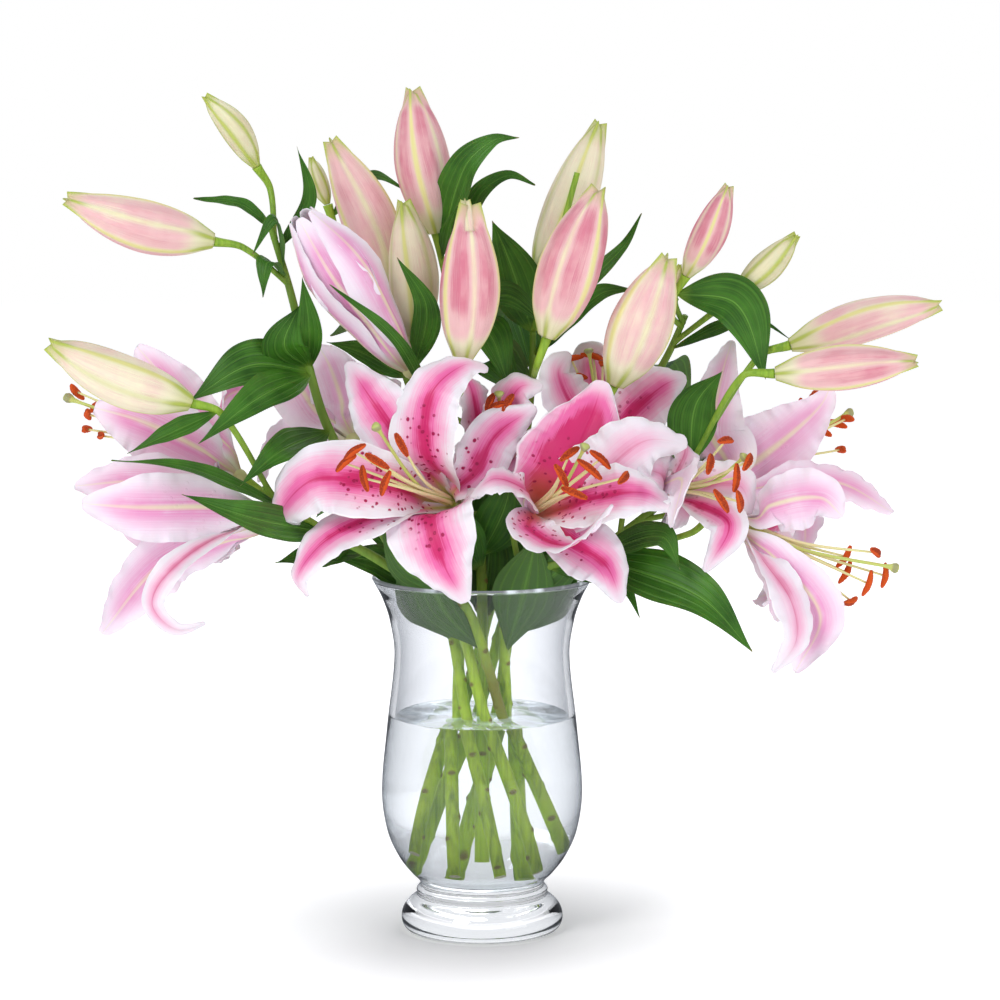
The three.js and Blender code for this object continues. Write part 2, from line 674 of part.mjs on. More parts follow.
// The half-open bloom: six petals still closed into a wide cone.
const HALF_OPEN = { at: [-49, -15, 394], tip: [-122, -40, 503], width: 52 };

// Stems: waist angle, foot height, lean, and the places above the neck.
// A leaf grows from a height on its stem or from a pedicel, through two places to its tip;
// tilt is how far its upper face turns from the sky to the front.
const STEMS = [
  { name: "stem_1", waist: 225, foot: 49, lean: 0.3, radius: 3.9,
    to: [[-60, 6, 265], [-95, -2, 330], [-112, -8, 370], [-132, -12, 451], [-146, -15, 499]],
    branches: [{ from: 455, head: "b2" }, { from: 485, head: "b1" }, { from: 290, head: "J" }],
    leaves: [
      { from: 494, to: [[-165, -20, 510], [-197, -24, 514]], width: 9 },
      { from: 478, to: [[-118, -14, 513], [-126, -22, 550]], width: 9, tilt: 80 },
      { from: 462, to: [[-141, -28, 500], [-156, -34, 476]], width: 10 },
      { from: 458, to: [[-146, -30, 471], [-149, -38, 447]], width: 14 },
      { from: 396, to: [[-135, -30, 414], [-124, -34, 442]], width: 30, tilt: 80 },
      { from: 396, to: [[-118, -34, 430], [-122, -40, 462]], width: 16, tilt: 80 },
      { from: 394, to: [[-158, -38, 401], [-198, -48, 378]], width: 34, tilt: 60 },
      { from: 392, to: [[-150, -72, 382], [-190, -100, 353]], width: 26, tilt: 60 },
      { from: 352, to: [[-138, -68, 344], [-163, -86, 323]], width: 24, tilt: 60 },
      { from: 300, to: [[-98, 50, 300], [-120, 86, 280]], width: 34, tilt: -30 },
    ] },
  { name: "stem_2", waist: 270, foot: 50, lean: 0.3, radius: 3.9,
    to: [[-70, -30, 265], [-115, -45, 292], [-150, -52, 318]],
    branches: [{ from: 285, head: "H" }, { from: 295, head: "I" }, { from: 312, head: "b3" }],
    leaves: [
      { on: "b3", at: 0.8, to: [[-209, -94, 360], [-237, -100, 347]], width: 13 },
      { from: 300, to: [[-194, -104, 338], [-247, -118, 345]], width: 12, tilt: 40 },
      { from: 285, to: [[-155, -104, 305], [-199, -130, 324]], width: 24, tilt: 60 },
      { from: 270, to: [[-108, -20, 268], [-143, -26, 263]], width: 24, tilt: 40 },
    ] },
  { name: "stem_3", waist: 315, foot: 62, lean: 0.4, radius: 3.8,
    to: [[-26, -40, 262], [-10, -28, 286]],
    branches: [{ from: 280, head: "A" }],
    leaves: [
      { from: 200, to: [[-28, -36, 236], [-38, -40, 284]], width: 36, tilt: -90 },
      { from: 240, to: [[-54, -42, 262], [-70, -40, 290]], width: 22, tilt: -70 },
    ] },
  { name: "stem_4", waist: 180, foot: 49, lean: 0.3, radius: 3.9,
    to: [[-30, 34, 300], [-48, 36, 370], [-70, 38, 430]],
    branches: [{ from: 340, head: "K" }, { from: 390, head: "b5" }, { from: 425, head: "b6" },
      { from: 350, head: "b7" }],
    leaves: [
      { on: "b6", at: 0.9, to: [[-78, 50, 526], [-52, 44, 516]], width: 11 },
      { on: "b7", at: 0.8, to: [[-38, -26, 440], [-58, -34, 475]], width: 18, tilt: 90 },
      { on: "K", at: 0.7, to: [[-60, -52, 422], [-103, -68, 459]], width: 9, tilt: 60 },
      { from: 385, to: [[-82, 10, 405], [-108, -2, 414]], width: 18, tilt: 60 },
      { from: 380, to: [[-80, 70, 420], [-110, 96, 410]], width: 32, tilt: -20 },
    ] },
  { name: "stem_5", waist: null, foot: 58, lean: 0, radius: 3.9,
    to: [[0, 0, 240], [-4, 26, 300], [-12, 30, 370], [-20, 26, 430]],
    branches: [{ from: 425, head: "b4" }, { from: 352, head: "b8", by: [[-31, 4, 368]] }, { from: 290, head: "C" }],
    leaves: [
      { on: "b4", at: 0.8, to: [[5, -12, 518], [29, -10, 557]], width: 28, tilt: 60 },
      { on: "b4", at: 0.5, to: [[10, 20, 506], [38, 12, 524]], width: 20 },
      { on: "b4", at: 0.7, to: [[-22, 0, 496], [-16, -8, 509]], width: 9 },
      { from: 420, to: [[16, 0, 446], [47, -14, 424]], width: 20, tilt: 60 },
      { from: 400, to: [[4, 4, 420], [20, -6, 380]], width: 30, tilt: 60 },
    ] },
  { name: "stem_6", waist: 135, foot: 62, lean: 0.4, radius: 3.9,
    to: [[24, 40, 300], [34, 42, 370], [36, 42, 420]],
    branches: [{ from: 415, head: "b10" }, { from: 378, head: "b9" }, { from: 290, head: "D" },
      { from: 418, head: "stub", end: [66, 12, 530], by: [[50, 14, 470]], swell: 2 }],
    leaves: [
      { from: 415, to: [[20, 20, 466], [7, 4, 498]], width: 34, tilt: 80 },
      { from: 400, to: [[82, 14, 446], [108, 4, 450]], width: 20 },
      { from: 418, to: [[98, 40, 476], [112, 34, 502]], width: 12, tilt: 60 },
      { from: 390, to: [[20, 70, 430], [0, 96, 400]], width: 34, tilt: -30 },
      { from: 380, to: [[10, 34, 400], [30, 20, 372]], width: 34, tilt: 80 },
    ] },
  { name: "stem_7", waist: 90, foot: 48, lean: 0.3, radius: 3.9,
    to: [[60, 40, 290], [103, 60, 350], [130, 42, 400], [142, 24, 430]],
    branches: [{ from: 422, head: "b12" }, { from: 425, head: "b13" },
      { from: 410, head: "b14" }],
    leaves: [
      { on: "b13", at: 0.75, to: [[176, -4, 440], [196, -16, 388]], width: 34, tilt: 70 },
      { from: 405, to: [[188, 14, 428], [216, 6, 414]], width: 10 },
      { from: 370, to: [[130, 90, 390], [150, 116, 350]], width: 34, tilt: -30 },
      { from: 340, to: [[60, 84, 370], [50, 112, 350]], width: 34, tilt: -30 },
    ] },
  { name: "stem_8", waist: 45, foot: 49, lean: 0.3, radius: 3.9,
    to: [[80, -10, 268], [130, -14, 310], [160, -20, 360]],
    branches: [{ from: 268, head: "b11", by: [[84, -22, 330]] }, { from: 355, head: "b15" }, { from: 340, head: "b16" }, { from: 290, head: "F" }],
    leaves: [
      { from: 330, to: [[147, -24, 372], [165, -34, 397]], width: 32, tilt: 90 },
      { from: 300, to: [[150, 30, 330], [170, 70, 310]], width: 34, tilt: -20 },
    ] },
  { name: "stem_9", waist: 0, foot: 47, lean: 0.28, radius: 3.9,
    to: [[34, -34, 256], [80, -44, 272], [120, -52, 284]],
    branches: [{ from: 250, head: "B" }, { from: 276, head: "E" }, { from: 270, head: "G", by: [[142, -46, 286]], arch: 8 }],
    leaves: [
      { from: 270, to: [[146, -90, 250], [183, -106, 213]], width: 36, tilt: 60 },
      { from: 262, to: [[96, -60, 252], [108, -70, 231]], width: 12, tilt: 60 },
      { from: 240, to: [[42, -34, 250], [74, -50, 282]], width: 26, tilt: -80 },
      { from: 196, to: [[26, -38, 234], [38, -44, 284]], width: 40, tilt: -90 },
      { from: 272, to: [[122, -78, 288], [134, -96, 268]], width: 24, tilt: 60 },
    ] },
];

function halfOpenSolid() {
  const axis = vec(HALF_OPEN.tip).sub(vec(HALF_OPEN.at));
  const length = axis.length();
  const bloom = { at: HALF_OPEN.at, dir: axis.normalize().toArray() };
  const frame = bloomFrame(bloom);
  const random = randomFrom(77);
  const heart = tube(
    [frame.base.clone().addScaledVector(frame.axis, -4), frame.base.clone().addScaledVector(frame.axis, 8)],
    [[0, 2.4], [12 / 24, 5], [1, 3.4]], 6,
  );
  const parts = [heart];
  for (let i = 0; i < 6; i++) {
    const inner = i % 2 === 0;
    const out = inner ? 0.86 : 1;
    const places = [[0.3, 0.3], [0.68, 0.4], [1.02, 0.14]].map(([s, r]) => {
      return aroundBloom(frame, i * 60, s * length, r * out * HALF_OPEN.width).toArray();
    });
    const spec = { to: places, width: 30, wave: 0.8, cup: [0.5, 0.35], columns: 2 };
    parts.push(petal(bloom, spec, random));
  }
  return joined(parts);
}
BLOOMS.K = { at: HALF_OPEN.at, dir: vec(HALF_OPEN.tip).sub(vec(HALF_OPEN.at)).toArray() };

function lathe(profile) {
  const rings = profile.slice(1, -1).map(([r, z]) => {
    return Array.from({ length: VASE_SIDES }, (_, j) => {
      const a = (2 * Math.PI * j) / VASE_SIDES;
      return new THREE.Vector3(r * Math.cos(a), r * Math.sin(a), z);
    });
  });
  const start = new THREE.Vector3(0, 0, profile[0][1]);
  return skin(rings, start, new THREE.Vector3(0, 0, profile[profile.length - 1][1]));
}

function vaseSolid() {
  return lathe([[0, 0], ...VASE_OUTER, ...VASE_INNER, [0, 34.8]]);
}

function waterSolid() {
  const wall = VASE_INNER.filter(([, z]) => z < WATER_TOP - 2).reverse();
  const outline = wall.map(([r, z]) => [r - WATER_GAP, z + WATER_GAP]);
  const body = lathe([[0, 34.8 + WATER_GAP], ...outline, [61.2 - WATER_GAP, WATER_TOP],
    [0, WATER_TOP]]);
  return STEMS.reduce((water, stem) => {
    const path = stemPath(stem);
    const down = path.direction(0);
    const low = path.at(0).addScaledVector(down, -HOLE_GAP);
    const high = path.at(0).addScaledVector(down, 130);
    const hole = tube([low, high], [[0, stem.radius + HOLE_GAP], [1, stem.radius + HOLE_GAP]], STEM_SIDES);
    return water.subtract(hole);
  }, body);
}

const lilies = new THREE.Group();

function add(name, solid, color, roughness, options = {}) {
  const mesh = solid.getMesh();
  const geometry = new THREE.BufferGeometry();
  const positions = new Float32Array(mesh.numVert * 3);
  for (let i = 0; i < mesh.numVert; i++) {
    for (let c = 0; c < 3; c++) positions[i * 3 + c] = mesh.vertProperties[i * mesh.numProp + c];
  }
  geometry.setAttribute("position", new THREE.BufferAttribute(positions, 3));
  geometry.setIndex(new THREE.BufferAttribute(new Uint32Array(mesh.triVerts), 1));
  const material = new THREE.MeshStandardMaterial({ color, roughness, metalness: 0, ...options });
  const part = new THREE.Mesh(geometry, material);
  part.name = name;
  lilies.add(part);
}

add("vase", vaseSolid(), 0xdfe8ec, 0.05, { transparent: true, opacity: 0.35 });
add("water", waterSolid(), 0xd5e2e4, 0.05, { transparent: true, opacity: 0.35 });
for (const stem of STEMS) add(stem.name, stemSolid(stem), 0x4f8a2b, 0.5);
for (const [name, bloom] of Object.entries(BLOOMS)) {
  if (name === "K") continue;
  add(`bloom_${name}_petals`, bloomPetals(bloom), 0xe8709f, 0.5);
  add(`bloom_${name}_stamens`, bloomStamens(bloom), 0xc8571c, 0.6);
}
add("bloom_K_half_open", halfOpenSolid(), 0xe9a7bf, 0.5);
for (const [name, bud] of Object.entries(BUDS)) {
  add(`bud_${name.slice(1)}`, budSolid(bud), 0xd9b3a6, 0.5);
}

export default lilies;
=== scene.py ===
"""Cut pink lilies in a clear glass vase of water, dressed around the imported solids."""

import math

import bpy
import numpy as np
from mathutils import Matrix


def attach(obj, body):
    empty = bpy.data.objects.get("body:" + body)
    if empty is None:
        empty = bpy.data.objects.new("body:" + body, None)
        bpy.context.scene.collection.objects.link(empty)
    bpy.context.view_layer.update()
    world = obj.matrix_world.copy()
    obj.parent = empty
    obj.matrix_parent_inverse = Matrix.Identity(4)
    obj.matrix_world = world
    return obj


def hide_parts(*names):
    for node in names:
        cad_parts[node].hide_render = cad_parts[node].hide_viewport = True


# The view -----------------------------------------------------------------------------
# A camera with a long lens, 2.6 m in front of the flowers, a little above their middle
# and tipped down. Places in this script are in millimetres, as in the part's source.

MM = 0.001
VIEW_PLACE = (12.6, -2600.0, 631.0)
VIEW_TIPPED_DOWN = 7.18
VIEW_LENS = 135.6
VIEW_SENSOR = 36

view = bpy.data.objects.new("view", bpy.data.cameras.new("view"))
bpy.context.scene.collection.objects.link(view)
view.location = [c * MM for c in VIEW_PLACE]
view.rotation_euler = (math.radians(90 - VIEW_TIPPED_DOWN), 0, 0)
view.data.lens = VIEW_LENS
view.data.sensor_width = VIEW_SENSOR
bpy.context.scene.camera = view

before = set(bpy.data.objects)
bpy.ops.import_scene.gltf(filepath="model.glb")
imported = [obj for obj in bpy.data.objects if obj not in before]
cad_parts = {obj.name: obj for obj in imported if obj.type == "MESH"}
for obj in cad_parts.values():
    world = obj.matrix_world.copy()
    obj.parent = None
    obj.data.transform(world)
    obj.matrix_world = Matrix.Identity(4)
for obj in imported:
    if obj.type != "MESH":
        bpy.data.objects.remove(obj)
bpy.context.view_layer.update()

# The vase -----------------------------------------------------------------------------
# Clear soda glass, mould-blown in one piece: a thick round foot with a pressed ring above
# it, a bowl, a slight neck and a flared rim whose edge is fire-polished round.

VASE_AROUND = 144
VASE_ROWS = 150
UNDERSIDE_ROWS = 24
UNDERSIDE_END = 0.96
FOOT_RADIUS = 50
OUTSIDE = [
    (FOOT_RADIUS, 0), (54, 1.3), (56.2, 5), (56.7, 10), (55, 15.5), (51, 20.5),
    (46.2, 24), (45.6, 25.6), (46.4, 27.6), (45.4, 29.4), (43.5, 31), (43.4, 33.2),
    (45.3, 36.4), (49.5, 40.3), (58.5, 52), (66.5, 70), (70.3, 98), (66.5, 144),
    (61.2, 195), (64.5, 220), (69.8, 236), (75.6, 247), (76.8, 249.2), (76.3, 250.5),
]
INSIDE = [
    (76.3, 250.5), (75, 250.9), (73.6, 249.6), (71.3, 245.4), (66.4, 236.6), (60.4, 220),
    (57, 195), (62, 144), (65.8, 98), (60.5, 68.5), (50.5, 50), (40, 41.5), (22, 36.2),
    (10, 35), (0.4, 34.8),
]
UNDERSIDE = [(1, 1.5), (14, 1.4), (30, 1.05), (42, 0.5), (48, 0.05), (FOOT_RADIUS, 0)]
DARK = (0, 0, 0, 1)
GLASS_CLEAR = (0.92, 0.93, 0.95, 1)
GLASS_EDGE_TINT_AND_PAINTED_SHADE = (0.04, 0.06, 0.09, 1)
RIM_PAINTED_HIGHLIGHT = (0.85, 0.92, 0.98, 1)
FOOT_FADE = (0.0308, 0.0616)
RIM_BAND = (0.2475, 0.2495)
RIM_HIGHLIGHT_DASHES = 34.0


class Socket:
    """An output of the material being built. Sums and products of sockets and numbers add
    Math nodes, and node() adds a node of any other type. Socket(tree) starts a material."""

    def __init__(self, tree, socket=None):
        self.tree = tree
        self.socket = socket

    def node(self, kind, settings, inputs, output=0):
        """Adds a node: its settings come first, then its inputs as numbers or links."""
        made = self.tree.nodes.new("ShaderNode" + kind)
        for name, value in settings.items():
            setattr(made, name, value)
        for name, value in inputs.items():
            if isinstance(value, Socket):
                self.tree.links.new(value.socket, made.inputs[name])
            else:
                made.inputs[name].default_value = value
        return Socket(self.tree, made.outputs[output])

    def maths(self, operation, *values):
        inputs = dict(enumerate(values))
        return self.node("Math", {"operation": operation}, inputs)

    def __add__(self, other):
        return self.maths("ADD", self, other)

    __radd__ = __add__

    def __sub__(self, other):
        return self.maths("SUBTRACT", self, other)

    def __rsub__(self, other):
        return self.maths("SUBTRACT", other, self)

    def __mul__(self, other):
        return self.maths("MULTIPLY", self, other)

    __rmul__ = __mul__

    def __pow__(self, other):
        return self.maths("POWER", self, other)

    def __abs__(self):
        return self.maths("ABSOLUTE", self)

    def wave(self):
        return self.maths("SINE", self)

    def most(self, other):
        return self.maths("MAXIMUM", self, other)

    def rise(self, low, high, top=1.0):
        """Goes smoothly from 0 where the value is low to top where it is high."""
        steps = {"Value": self, 1: low, 2: high, 3: 0.0, 4: top}
        return self.node("MapRange", {"interpolation_type": "SMOOTHSTEP"}, steps)

    def fall(self, low, high, top=1.0):
        """Goes smoothly from top where the value is low to 0 where it is high."""
        return self.rise(high, low, top)

    def parts(self):
        """The three numbers of a vector."""
        split = self.node("SeparateXYZ", {}, {0: self}).socket.node
        return [Socket(self.tree, part) for part in split.outputs]

    def vector(self, x, y, z):
        return self.node("CombineXYZ", {}, {0: x, 1: y, 2: z})

    def blend(self, first, second):
        """The colour first where this is 0 and second where it is 1."""
        colours = {0: self, 6: first, 7: second}
        return self.node("Mix", {"data_type": "RGBA"}, colours, 2)

    def mark(self, name):
        """The three numbers that a piece's corners carry under a name."""
        return self.node("Attribute", {"attribute_name": name}, {}, "Vector").parts()

    def object_place(self):
        """The place on the object that is being coloured, in metres."""
        return self.node("TexCoord", {}, {}, "Object")

    def noise(self, place, scale, detail=2.0):
        numbers = {"Vector": place, "Scale": scale, "Detail": detail}
        return self.node("TexNoise", {}, numbers, "Fac")

    def bump(self, height, depth, strength=1.0):
        """A relief of that height, depth metres deep where height is 1."""
        sizes = {"Height": height, "Distance": depth, "Strength": strength}
        return self.node("Bump", {}, sizes)

    def into(self, shader, name):
        self.tree.links.new(self.socket, shader.inputs[name])


def finish(name, **constants):
    """A new material: the material, its shader with constants set, and its first Socket.
    A constant's name is the shader's own, with underscores for spaces."""
    material = bpy.data.materials.new(name)
    material.use_nodes = True
    shader = material.node_tree.nodes["Principled BSDF"]
    for constant, value in constants.items():
        shader.inputs[constant.replace("_", " ")].default_value = value
    return material, shader, Socket(material.node_tree)


def path_at(points, t):
    """Places at the fractions t of a smooth path through points: each stretch is a cubic
    whose slope at a point follows its two neighbours, timed by the length of the chords."""
    p = np.asarray(points, float)
    last = len(p) - 1
    reach = np.append(0, np.linalg.norm(np.diff(p, axis=0), axis=1).cumsum())
    before = np.maximum(np.arange(last + 1) - 1, 0)
    after = np.minimum(np.arange(last + 1) + 1, last)
    slope = (p[after] - p[before]) / (reach[after] - reach[before])[:, None]
    s = np.clip(t, 0, 1) * reach[-1]
    i = np.searchsorted(reach[1:-1], s)
    h = (reach[i + 1] - reach[i])[:, None]
    u = (s - reach[i])[:, None] / h
    return (
        (2 * u**3 - 3 * u**2 + 1) * p[i]
        + (u**3 - 2 * u**2 + u) * h * slope[i]
        + (3 * u**2 - 2 * u**3) * p[i + 1]
        + (u**3 - u**2) * h * slope[i + 1]
    )


def skin(rings, start, end, **marks):
    """A closed skin over rings[i, j]: corner j of ring i meets its neighbours j + 1 and
    i + 1 in a four-sided face, and a fan of triangles draws each end to one point.
    Marks are arrays like rings whose numbers the corners carry; an end takes its ring's
    mean."""
    rows, around = rings.shape[:2]
    j = np.arange(around)
    k = (j + 1) % around
    low = 1 + around * np.arange(rows - 1)[:, None]
    quads = np.stack([low + j, low + k, low + around + k, low + around + j], -1)
    last = 1 + around * (rows - 1)
    first_fan = np.stack([0 * j, 1 + k, 1 + j], -1)
    last_fan = np.stack([last + j, last + k, 0 * j + last + around], -1)
    carried = {
        name: np.concatenate([v[:1].mean(1), v.reshape(-1, 3), v[-1:].mean(1)])
        for name, v in marks.items()
    }
    return {
        "places": np.concatenate([[start], rings.reshape(-1, 3), [end]]),
        "quads": quads.reshape(-1, 4),
        "fans": np.concatenate([first_fan, last_fan]),
        "marks": carried,
    }


def piece(name, skins, material, nodes):
    """Puts skins together as one object of the part, in place of the named nodes."""
    count = np.cumsum([0] + [len(s["places"]) for s in skins])
    places = np.concatenate([s["places"] for s in skins]) * MM
    quads = np.concatenate([s["quads"] + n for s, n in zip(skins, count)])
    fans = np.concatenate([s["fans"] + n for s, n in zip(skins, count)])
    mesh = bpy.data.meshes.new(name)
    mesh.from_pydata(places.tolist(), [], quads.tolist() + fans.tolist())
    mesh.shade_smooth()
    for mark in skins[0]["marks"]:
        numbers = np.concatenate([s["marks"][mark] for s in skins])
        held = mesh.attributes.new(mark, "FLOAT_VECTOR", "POINT")
        held.data.foreach_set("vector", numbers.ravel())
    mesh.materials.append(material)
    made = bpy.data.objects.new(name, mesh)
    bpy.context.scene.collection.objects.link(made)
    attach(made, "root")
    for node in nodes:
        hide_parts(node)


def angles(count):
    """Angles that go once round."""
    return np.linspace(0, 2 * np.pi, count, endpoint=False)


def turned(outline):
    """Rings of a turned form: each (radius, height) of the outline goes round the axis."""
    a = angles(VASE_AROUND)
    r, z = outline.T
    x = r[:, None] * np.cos(a)
    y = r[:, None] * np.sin(a)
    return np.stack([x, y, np.broadcast_to(z[:, None], x.shape)], -1)


def glass_finish():
    """Glass that is clear face on and deepens to a blue grey where it is seen edge on: partly
    the tint of thick glass, partly painted shade for dark surroundings seen through it. In the
    thick foot, through which light passes many times, the grey shows only in narrow lines. The
    round rim glows here and there in bright dashes, a painted highlight for the light it
    collects from the wall below it."""
    material, shader, m = finish(
        "clear_glass", Transmission_Weight=1.0, Roughness=0.0, IOR=1.5,
        Specular_IOR_Level=0.5, Emission_Strength=1.0,
    )
    facing = m.node("LayerWeight", {}, {"Blend": 0.5}, "Facing")
    x, y, z = m.object_place().parts()
    foot = z.fall(*FOOT_FADE)
    rim = z.rise(*RIM_BAND)
    # Edge on, the base colour goes dark: partly the tint of thick glass, partly painted shade for
    # dark surroundings seen through it.
    edge = facing**1.6 * (1 - foot) * (1 - rim * 0.8) + facing**2.5 * foot
    edge.blend(GLASS_CLEAR, GLASS_EDGE_TINT_AND_PAINTED_SHADE).into(shader, "Base Color")
    # The rim glows in dashes: a painted highlight, not a lamp.
    painted_highlight_dashes = m.noise(m.vector(x, y, 0.0), RIM_HIGHLIGHT_DASHES).rise(0.52, 0.62, 0.5) + 0.14
    (rim * painted_highlight_dashes).blend(DARK, RIM_PAINTED_HIGHLIGHT).into(shader, "Emission Color")
    return material


underside = path_at(UNDERSIDE, np.linspace(0, UNDERSIDE_END, UNDERSIDE_ROWS))
outside = path_at(OUTSIDE, np.linspace(0, 1, VASE_ROWS))
inside = path_at(INSIDE, np.linspace(0, 1, VASE_ROWS))[1:]
vase_rings = turned(np.concatenate([underside, outside, inside]))
vase_under = (0, 0, UNDERSIDE[0][1])
vase_floor = (0, 0, INSIDE[-1][1])
piece("vase_glass", [skin(vase_rings, vase_under, vase_floor)], glass_finish(), ["vase"])

# The water ----------------------------------------------------------------------------
# Clean tap water to a little under the neck. It wets the glass, so its edge climbs the
# wall by a millimetre or two, and its top trembles slightly.

WATER_TOP = 151
WETTED = 0.12
CLIMB = 1.6
CLIMB_REACH = 3.0
WATER_ROWS = (260, 60)
STILL_FROM = 59
WATER_COLOUR = (0.975, 0.99, 0.985, 1)
TOP_PAINTED_LIGHT = (0.32, 0.37, 0.41, 1)


def water_outline():
    """The inner wall from the floor's middle up to the water line, then in to the axis."""
    wall = path_at(INSIDE[::-1], np.linspace(0, 1, WATER_ROWS[0]))
    wall = wall[wall[:, 1] < WATER_TOP + CLIMB] + (WETTED, 0)
    top_radius = wall[-1, 0]
    r = top_radius * (1 - np.linspace(0.004, 0.995, WATER_ROWS[1]) ** 1.3)
    z = WATER_TOP + CLIMB * np.exp((r - top_radius) / CLIMB_REACH)
    return np.concatenate([wall, np.stack([r, z], -1)])


def tremble(rings):
    """Raises and lowers the water's top by tenths of a millimetre, with crossing waves."""
    x, y, z = np.moveaxis(rings, -1, 0)
    on_top = (z > WATER_TOP - 0.01) & (np.hypot(x, y) < STILL_FROM)
    ripple = 0.45 * np.sin(0.16 * x + 0.9) * np.cos(0.19 * y)
    ripple += 0.2 * np.sin(0.31 * (x + y))
    rings[..., 2] = z + np.where(on_top, ripple, 0)
    return rings


def water_finish():
    """Clear water whose top glows pale in long soft patches where it faces up: painted light
    from above.
    """
    material, shader, m = finish(
        "clear_water", Base_Color=WATER_COLOUR, Transmission_Weight=1.0, Roughness=0.0,
        IOR=1.33, Specular_IOR_Level=0.6, Emission_Strength=1.0,
    )
    x, y, _ = m.object_place().parts()
    _, _, up = m.node("NewGeometry", {}, {}, "Normal").parts()
    # Painted light: the upward-facing top of the water glows in soft patches.
    painted_light_patches = m.noise(m.vector(x * 0.5, y, 0.0), 60.0).rise(0.3, 0.7, 0.8) + 0.2
    glow = up.rise(0.6, 0.9) * painted_light_patches
    glow.blend(DARK, TOP_PAINTED_LIGHT).into(shader, "Emission Color")
    return material


water = water_finish()
water_rings = tremble(turned(water_outline()))
water_middle = water_rings[-1].mean(0)
water_floor = (0, 0, INSIDE[-1][1] - WETTED)
piece("water_body", [skin(water_rings[1:], water_floor, water_middle)], water, ["water"])

# The buds -----------------------------------------------------------------------------
# Closed flowers: three outer tepals shut over three inner ones, so that six ribs run from
# the stalk to the tip, where the three outer tepals end in small hooked points.

PATH_END = 0.985
USUAL_WIDTH = 40
BUD_AROUND = 72
BUD_ROWS = 56
BUD_FORM = [(0, 0.3), (0.06, 0.46), (0.17, 0.74), (0.31, 0.93), (0.46, 1), (0.61, 0.93),
            (0.75, 0.76), (0.88, 0.5), (0.96, 0.3), (1, 0.2)]
BUD_TWIST = 0.25
BUD_RIB = 0.07
BUD_LOBE = 0.035
BUD_FURROW = 0.1
BUD_SHUT = 0.4
BUD_POINTS = 4.5
BUD_POINTS_FROM = 0.86
BUD_PARTING = 2
BUD_PARTING_FROM = 0.7
BUD_ROSE = (0.64, 0.17, 0.25, 1)
BUD_BLUSH = (0.82, 0.5, 0.5, 1)
BUD_CREAM = (0.86, 0.8, 0.58, 1)
BUD_RIDGE = (0.76, 0.7, 0.28, 1)
BUD_GREEN = (0.46, 0.54, 0.1, 1)


def closed(base, tip, width, bend, rose, green, **more):
    """A closed bud from its foot to its tip."""
    return dict(base=base, tip=tip, width=width, bend=bend, rose=rose, green=green, **more)


# Buds by name: base, tip, width across its ridges, the bend of its middle, and how rose
# and how green it is.
BUDS = dict(
    b1=closed((-155, 0, 535), (-189, -15, 583), 20, (2, 0, 2), 0.05, 0.95),
    b2=closed((-183, -30, 485), (-280, -55, 515), 35, (0, 0, -4), 0.6, 0.3),
    b3=closed((-195, -85, 380), (-286, -110, 422), 35, (0, 0, -3), 0.2, 0.5),
    b4=closed((-32, 25, 488), (-48, 15, 587), 38, (-2, 0, 0), 0.8, 0.12),
    b5=closed((-63, 35, 447), (-105, 25, 552), 38, (3, 0, 2), 0.55, 0.25),
    b6=closed((-109, 60, 506), (-120, 60, 539), 13, (0, 0, 0), 0.05, 1),
    b7=closed((-47, 5, 408), (-54, -5, 511), 34, (3, 0, 0), 0.12, 0.6),
    b8=closed((-13, -35, 404), (-8, -45, 511), 40, (2, 0, 0), 0.95, 0.1, splay=2.5, parting=22,
        within=dict(tip=(-11, -44, 514), width=25, rose=0.15, green=0)),
    b9=closed((45, -30, 420), (80, -45, 521), 42, (0, 0, 0), 0.95, 0.1),
    b10=closed((39, 40, 457), (82, 35, 564), 34, (2, 0, 0), 0.12, 0.55),
    b11=closed((91, -23, 386), (127, -30, 474), 42, (0, 0, 0), 0.5, 0.3),
    b12=closed((133, 5, 444), (137, 0, 467), 10, (0, 0, 0), 0.1, 1),
    b13=closed((141, -5, 460), (169, -15, 522), 24, (2, 0, -1), 0.85, 0.15),
    b14=closed((178, 10, 448), (218, 10, 487), 21, (1, 0, -2), 0.05, 1),
    b15=closed((213, -5, 412), (317, 0, 440), 30, (0, 0, 4), 0.55, 0.35),
    b16=closed((200, -45, 396), (295, -55, 405), 31, (0, 0, 0), 0.75, 0.2),
)


def unit(v):
    return v / np.linalg.norm(v, axis=-1, keepdims=True)


def any_side(along):
    """Some direction across a path: level where the path isn't steep."""
    helper = (0, 0, 1) if abs(along[2]) < 0.8 else (1, 0, 0)
    return unit(np.cross(helper, along))


def frames_along(points, rows, side=None, face=None, end=1.0):
    """Places, directions and two cross directions at rows along a path. The side is carried
    on by taking off what points along the path. With a face given, the frame turns about
    the path in its first two fifths until its normal looks that way."""
    t = np.linspace(0, end, rows)
    ahead = path_at(points, np.minimum(t + 0.002, 1))
    along = unit(ahead - path_at(points, np.maximum(t - 0.002, 0)))
    side = any_side(along[0]) if side is None else side
    sides = []
    for direction in along:
        side = unit(side - (side @ direction) * direction)
        sides.append(side)
    sides = np.array(sides)
    normals = np.cross(along, sides)
    if face is not None:
        middle = np.searchsorted(t, 0.5)
        angle = math.atan2(-np.dot(face, sides[middle]), np.dot(face, normals[middle]))
        s = np.clip(t / 0.4, 0, 1)
        turn = (angle * s * s * (3 - 2 * s))[:, None]
        sides = sides * np.cos(turn) + normals * np.sin(turn)
        normals = np.cross(along, sides)
    return t, path_at(points, t), along, sides, normals


def rings_around(frames, radius, around):
    """Rings about a path, with one radius for each ring or one for each of its corners."""
    _, at, _, side, normal = frames
    a = angles(around)[:, None]
    radius = np.broadcast_to(radius.T, (around, len(at))).T[..., None]
    return at[:, None] + side[:, None] * radius * np.cos(a) + normal[:, None] * radius * np.sin(a)


